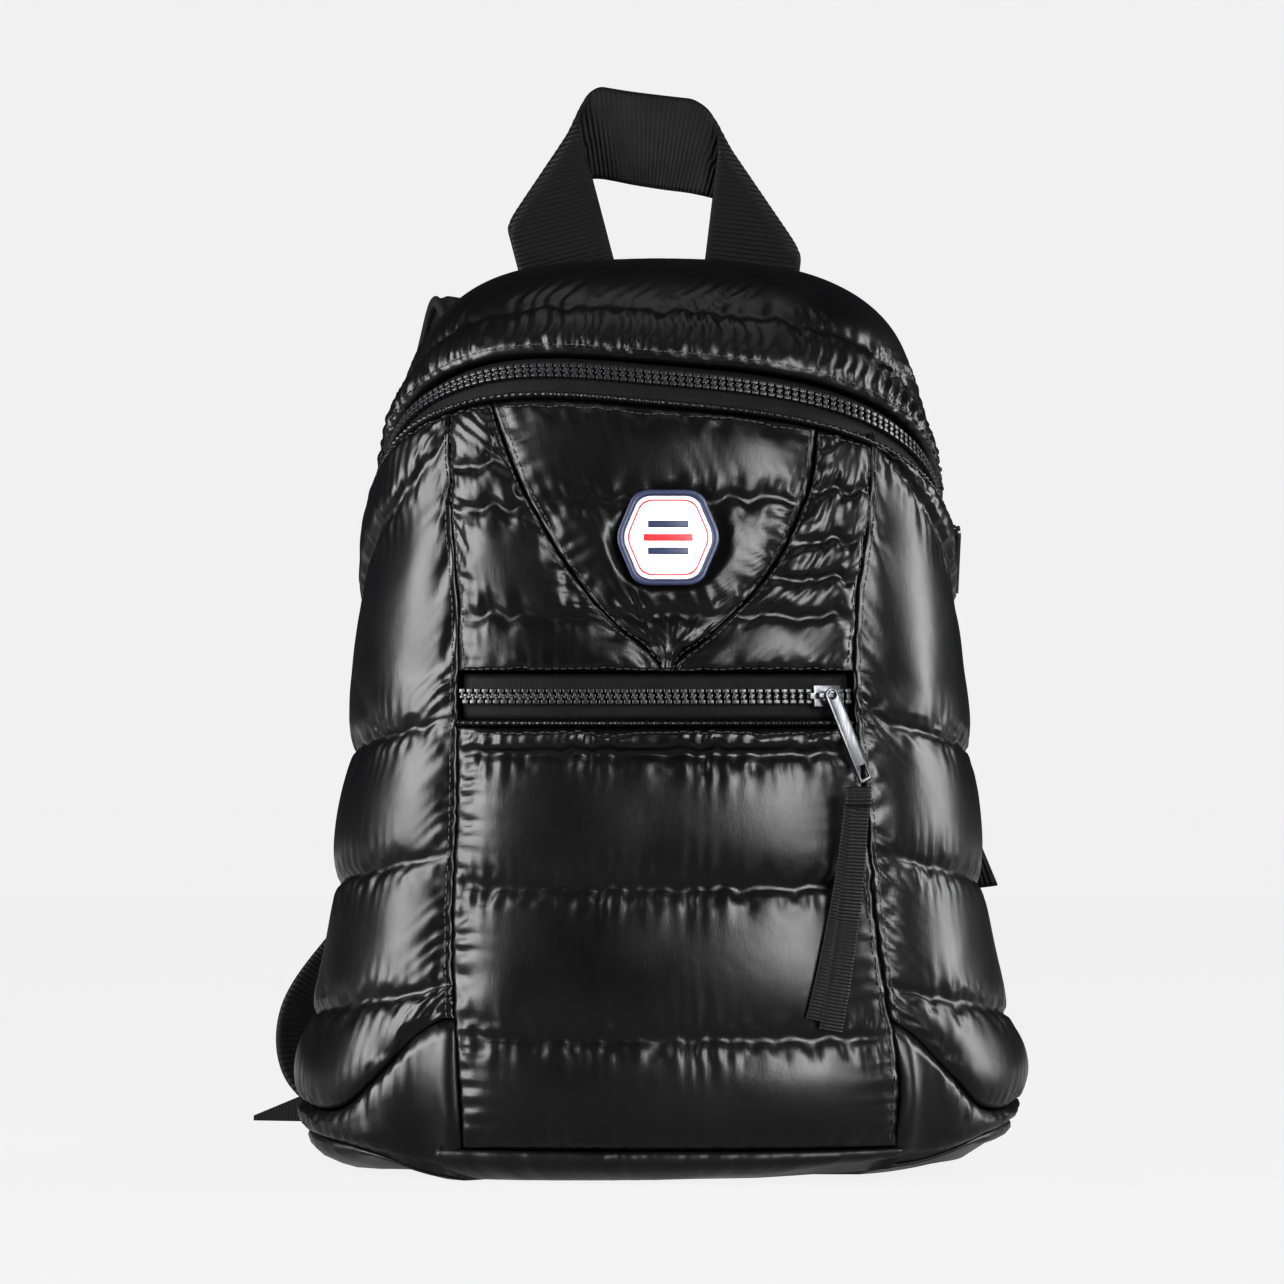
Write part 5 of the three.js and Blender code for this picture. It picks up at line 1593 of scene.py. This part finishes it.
def paint_tabs():
    """The anchor tabs are shown as the CAD has them."""
    for name in ("anchor_tab_left", "anchor_tab_right"):
        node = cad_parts[name]
        node.data.materials.clear()
        node.data.materials.append(PLAIN)


# Base: each ring's height as a share of its edge's height, and how far it is drawn in. The rises lift the
# bottom off the floor by the way that a point faces, in radians from the front.
BASE_LEVELS = [0.0, 0.0, 0.05, 0.16, 0.37, 0.60, 0.82, 1.0, 0.985, 0.60, 0.19]
BASE_INSETS = [55.0, 12.0, 3.0, 0.5, -1.6, -2.2, -1.3, 0.6, 6.5, 8.5, 55.0]
LEFT_RISE = np.array([[-3.2, 0], [-1.5, 0], [-1.15, 9], [-1.0, 4], [-0.9, 0], [0.0, 0.6]])
RIGHT_RISE = np.array([
    [0.0, 0.6], [0.3, 2], [0.6, 3], [0.8, 6], [1.0, 8], [1.3, 11], [2.0, 9], [2.4, 0], [3.2, 0],
])
BASE_SEGMENTS = 480
BASE_GAP = 0.6
ROLL_HEIGHT = 9.0


def base_edge(turn):
    """Height of the base's upper edge: under the pocket seam and under the corner panels."""
    top = np.full(len(turn), BASE_SEAM - BASE_GAP)
    for name in ("lower_corner_left", "lower_corner_right"):
        edge = PANELS[name].base[0]
        way = np.arctan2(edge[:, 0], -edge[:, 1])
        order = np.argsort(way)
        inside = (turn > way.min()) & (turn < way.max())
        top = np.where(inside, np.interp(turn, way[order], edge[order, 2]) - BASE_GAP, top)
    return top


def base_rings():
    """Rings of the base from the middle of its bottom, out round its roll and back in."""
    angle = (np.arange(BASE_SEGMENTS) + 0.5) / BASE_SEGMENTS * 2 * math.pi
    direction = np.stack([np.sin(angle), -np.cos(angle), 0 * angle], -1)
    turn = np.where(angle > math.pi, angle - 2 * math.pi, angle)
    top = base_edge(turn)
    table = np.concatenate([LEFT_RISE, RIGHT_RISE[1:]])
    rise = np.clip(np.interp(turn, table[:, 0], table[:, 1]), 0, np.maximum(top - 2.5, 0))
    fullness = np.minimum(1, (top - rise) / ROLL_HEIGHT)
    creases = noise_wave(turn * 17, 3) + 0.5 * noise_wave(turn * 41, 4)
    rings = []
    for k, (level, inset) in enumerate(zip(BASE_LEVELS, BASE_INSETS)):
        soft = 0.9 * creases * (1 < k < 8) * (1 - abs(k - 4.5) / 5) * fullness
        height = rise + level * (top - rise)
        origin = np.stack([0 * angle, 0 * angle, np.maximum(height, 0.5)], -1)
        distance = reach(origin, direction) - inset * (fullness if inset < 0 else 1) + soft
        ring = origin + direction * distance[:, None]
        ring[:, 2] = height if k > 1 else 0.45 * k * rise
        rings.append(ring)
    return rings


def build_base():
    """Base: a soft roll below the pocket seam in front and under the edges of the corner panels."""
    rings = base_rings()
    points = np.concatenate([*rings, [rings[0].mean(0), rings[-1].mean(0)]])
    faces = tube_faces(len(rings), BASE_SEGMENTS, capped=False)
    last = (len(rings) - 1) * BASE_SEGMENTS
    for k in range(BASE_SEGMENTS):
        after = (k + 1) % BASE_SEGMENTS
        faces.append([len(points) - 2, after, k])
        faces.append([len(points) - 1, last + k, last + after])
    made = face_outwards(mesh_object("base_cloth", points, faces, BASE_CLOTH))
    finish_piece(made, ["base_panel"])


# Back: the lower share of its rows stands upright, and the rest tilts forward over the top
BACK_ROWS = 150
BACK_COLUMNS = 110
BACK_THICKNESS = 4.0
FLAT_SHARE = 0.62


def between(start, end, share):
    """Points a share of the way from start to end."""
    return start * (1 - share[..., None]) + end * share[..., None]


def back_grid(t, u):
    """A grid over the back, with its edge on the back seam all round."""
    low = BASE_SEAM + SEAM_GAP / 2
    upright = low + (TILT_START - low) * t / FLAT_SHARE
    tilted = TILT_START + (LEVEL_TOP - TILT_START) * (t - FLAT_SHARE) / (1 - FLAT_SHARE)
    level = np.where(t < FLAT_SHARE, upright, tilted)
    top_level = float(LEVEL_TOP)
    sides = between(surface(level, -1.0), surface(level, 1.0), u)
    bottom = between(surface(low, -1.0), surface(low, 1.0), u)
    ends = between(bottom, surface(top_level, -1 + 2 * u), t)
    corners = between(bottom, between(surface(top_level, -1.0), surface(top_level, 1.0), u), t)
    return sides + ends - corners


def build_back():
    """The padded back: a thin closed panel that swells a little inside its seam."""
    t = np.linspace(0, 1, BACK_ROWS)[:, None]
    u = np.linspace(0, 1, BACK_COLUMNS)[None, :]
    p = back_grid(t, u)
    count = BACK_ROWS * BACK_COLUMNS
    seam_y = BACK_SEAM_Y + SEAM_GAP / 2
    border = grid_border(BACK_ROWS, BACK_COLUMNS)
    rim = np.zeros(count, bool)
    rim[border] = True
    rim = rim.reshape(BACK_ROWS, BACK_COLUMNS)
    inside = p * np.array([1, 0, 1])
    depth = reach(inside, np.array([0.0, 1.0, 0.0]))
    base = np.where(rim[..., None], p, inside + depth[..., None] * np.array([0, 1, 0]))
    base[..., 1] = np.maximum(base[..., 1], seam_y)
    edge = np.minimum(np.minimum(t, 1 - t) * BACK_ROWS, np.minimum(u, 1 - u) * BACK_COLUMNS)
    rise = BACK_PUFF * (1 - np.exp(-edge / 4.0))
    ripple = 0.35 * noise_wave(p[..., 0] * 0.11 + p[..., 2] * 0.05, 5) * (1 - np.exp(-edge / 8))
    outer = base + body_normal(base) * (rise + ripple)[..., None]
    inner = base.copy()
    inner[..., 1] = np.maximum(inner[..., 1] - BACK_THICKNESS, seam_y)
    inner[rim] = outer[rim]
    inner[rim, 1] -= 0.1
    points = np.concatenate([outer.reshape(-1, 3), inner.reshape(-1, 3)])
    after = np.roll(border, -1)
    faces = np.concatenate([
        grid_faces(BACK_ROWS, BACK_COLUMNS),
        grid_faces(BACK_ROWS, BACK_COLUMNS, count, True),
        np.stack([after, border, border + count, after + count], -1),
    ])
    made = face_outwards(mesh_object("back_cloth", points, faces, MESH_CLOTH))
    finish_piece(made, ["back_panel"])


# Badge outline: its corners as shares of its half size, and how much of each side they round off
BADGE_CORNERS = np.array([[-0.62, 1], [0.62, 1], [1, 0], [0.62, -1], [-0.62, -1], [-1, 0]])
CORNER_SHARE = 0.24
BADGE_EDGE = 0.3
STRIPE_SPACING = 5.2
STRIPE_LENGTH = 19.0
STRIPE_STEP = 3.4


def badge_outline(scale):
    """Six-sided outline with rounded corners."""
    corners = BADGE_CORNERS * [BADGE_HALF_WIDTH, BADGE_HALF_HEIGHT]
    line = []
    for k, corner in enumerate(corners):
        into = corner + (corners[k - 1] - corner) * CORNER_SHARE
        out = corner + (corners[(k + 1) % 6] - corner) * CORNER_SHARE
        for t in np.linspace(0, 1, 16):
            line.append((1 - t) ** 2 * into + 2 * t * (1 - t) * corner + t * t * out)
    return np.array(line) * scale


def badge_layer(name, place, material, low, high, scale, hole=None, nodes=()):
    """A layer of the badge between two heights, whole or with a hole of its own shape."""
    centre, across, up, out = place
    steps = [(scale, low), (scale, high - BADGE_EDGE), (scale * 0.985, high)]
    if hole is None:
        steps = [(0.02, low), *steps, (0.02, high)]
    else:
        steps += [(hole * 1.012, high), (hole, high - BADGE_EDGE), (hole, low)]
    rings = []
    for size, lift in steps:
        line = badge_outline(size)
        rings.append(centre + line[:, :1] * across + line[:, 1:] * up + out * lift)
    faces = tube_faces(len(rings), len(rings[0]), looped=hole is not None)
    made = face_outwards(mesh_object(name, np.concatenate(rings), faces, material))
    finish_piece(made, nodes)


def badge_stripe(k, height, material, place):
    """One raised stripe on the badge's field."""
    centre, across, up, out = place
    block = rounded_block(STRIPE_LENGTH - STRIPE_STEP * abs(k - 1), 2.6, 0.9, 0.25, "badge stripe")
    turn = Matrix((across, up, out)).transposed().to_4x4()
    turn.translation = Vector((centre + up * height + out * 0.75) * M)
    block.transform(turn)
    block.materials.append(material)
    finish_piece(face_outwards(add_object(f"badge_stripe_{k}", block)))


def badge_place():
    """The badge's middle, and the ways across, up and out of it, from the CAD node's points."""
    points = np.array([v.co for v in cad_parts["badge_patch"].data.vertices]) / M
    centre = points.mean(0)
    out = np.linalg.svd(points - centre)[2][2]
    out = -out if out[1] > 0 else out
    across = unit(np.array([1.0, 0, 0]) - out * out[0])
    up = np.cross(out, across)
    up = -up if up[2] < 0 else up
    return centre, across, up, out


def build_badge():
    """A plain six-sided patch: navy rim, white field, thin red line and three stripes."""
    place = badge_place()
    badge_layer("badge_rim", place, NAVY, -1.0, 1.3, 1.0, 0.88, ["badge_patch"])
    badge_layer("badge_field", place, WHITE, -1.0, 0.7, 0.875)
    badge_layer("badge_line", place, RED, 0.6, 0.95, 0.80, 0.765)
    for k, material in enumerate((NAVY, RED, NAVY)):
        badge_stripe(k, STRIPE_SPACING * (1 - k), material, place)


# Studio: lengths in metres
LIGHT_TARGET = (0, 0, 0.2)
BACKDROP_RADIUS = 4.5
BACKDROP_HEIGHT = 6.0
FLOOR_FRONT = -0.45
FLOOR_BACK = 2.2
FLOOR_HALF = 4.0
FLOOR_DROP = 0.02
FLOOR_GLOW = 0.89
BACKDROP_GLOW = 0.90
CAMERA_PLACE = (-0.006, -2.1, 0.21)
CAMERA_LENS = 147.2


def area_light(name, place, size, power):
    data = bpy.data.lights.new(name, "AREA")
    data.shape = "RECTANGLE"
    data.size, data.size_y = size
    data.energy = power
    light = add_object(name, data)
    light.visible_camera = False
    light.location = place
    light.rotation_euler = (Vector(LIGHT_TARGET) - Vector(place)).to_track_quat("-Z", "Y").to_euler()


def stage_part(name, points, faces, glow):
    points = [(x / M, y / M, z / M - FLOOR_DROP) for x, y, z in points]
    part = mesh_object(name, points, faces, ground_material("pale paper, " + name, glow), smooth=False)
    return part


def build_floor():
    """Pale paper floor."""
    corners = [(-1, FLOOR_FRONT), (1, FLOOR_FRONT), (1, FLOOR_BACK), (-1, FLOOR_BACK)]
    floor = [(side * FLOOR_HALF, y, 0) for side, y in corners]
    stage_part("studio floor", floor, [(0, 1, 2, 3)], FLOOR_GLOW)


def build_backdrop():
    """Pale paper all round and below, which only the camera sees."""
    count = 64
    turn = [k / count * 2 * math.pi for k in range(count)]
    ring = [(BACKDROP_RADIUS * math.cos(a), BACKDROP_RADIUS * math.sin(a)) for a in turn]
    points = [(x, y, -0.001) for x, y in ring] + [(x, y, BACKDROP_HEIGHT) for x, y in ring]
    faces = [(k, (k + 1) % count, count + (k + 1) % count, count + k) for k in range(count)]
    faces.append(tuple(range(count)))
    backdrop = stage_part("studio backdrop", points, faces, BACKDROP_GLOW)
    backdrop.visible_glossy = False
    backdrop.visible_diffuse = False
    backdrop.visible_shadow = False


def build_light():
    """Soft boxes, a faint sky and the tone of the picture."""
    area_light("left soft box", (-1.35, -0.55, 0.45), (0.9, 1.3), 92)
    area_light("right soft box", (0.72, -1.35, 0.55), (0.55, 1.0), 56)
    area_light("right rim box", (1.3, 0.1, 0.4), (0.5, 1.2), 40)
    area_light("top soft box", (0, -0.1, 1.5), (1.0, 0.7), 5)
    world = bpy.data.worlds.new("studio")
    world.use_nodes = True
    sky = world.node_tree.nodes["Background"].inputs
    sky["Color"].default_value = (0.9, 0.93, 1, 1)
    sky["Strength"].default_value = 0.045
    scene = bpy.context.scene
    scene.world = world
    scene.view_settings.view_transform = "Standard"
    scene.view_settings.gamma = 0.78


def place_camera():
    """The camera stands where the photo was taken from."""
    camera = bpy.data.cameras.new("camera")
    camera.lens = CAMERA_LENS
    camera.sensor_width = 36
    eye = add_object("camera", camera)
    eye.location = CAMERA_PLACE
    eye.rotation_euler = (math.pi / 2, 0, 0)
    bpy.context.scene.camera = eye


PANELS = build_panels()
build_zips()
build_stitches()
build_hard_pieces()
build_ribbon()
build_handle()
build_straps()
build_webbing()
paint_tabs()
build_base()
build_back()
build_badge()
build_floor()
build_backdrop()
build_light()
place_camera()
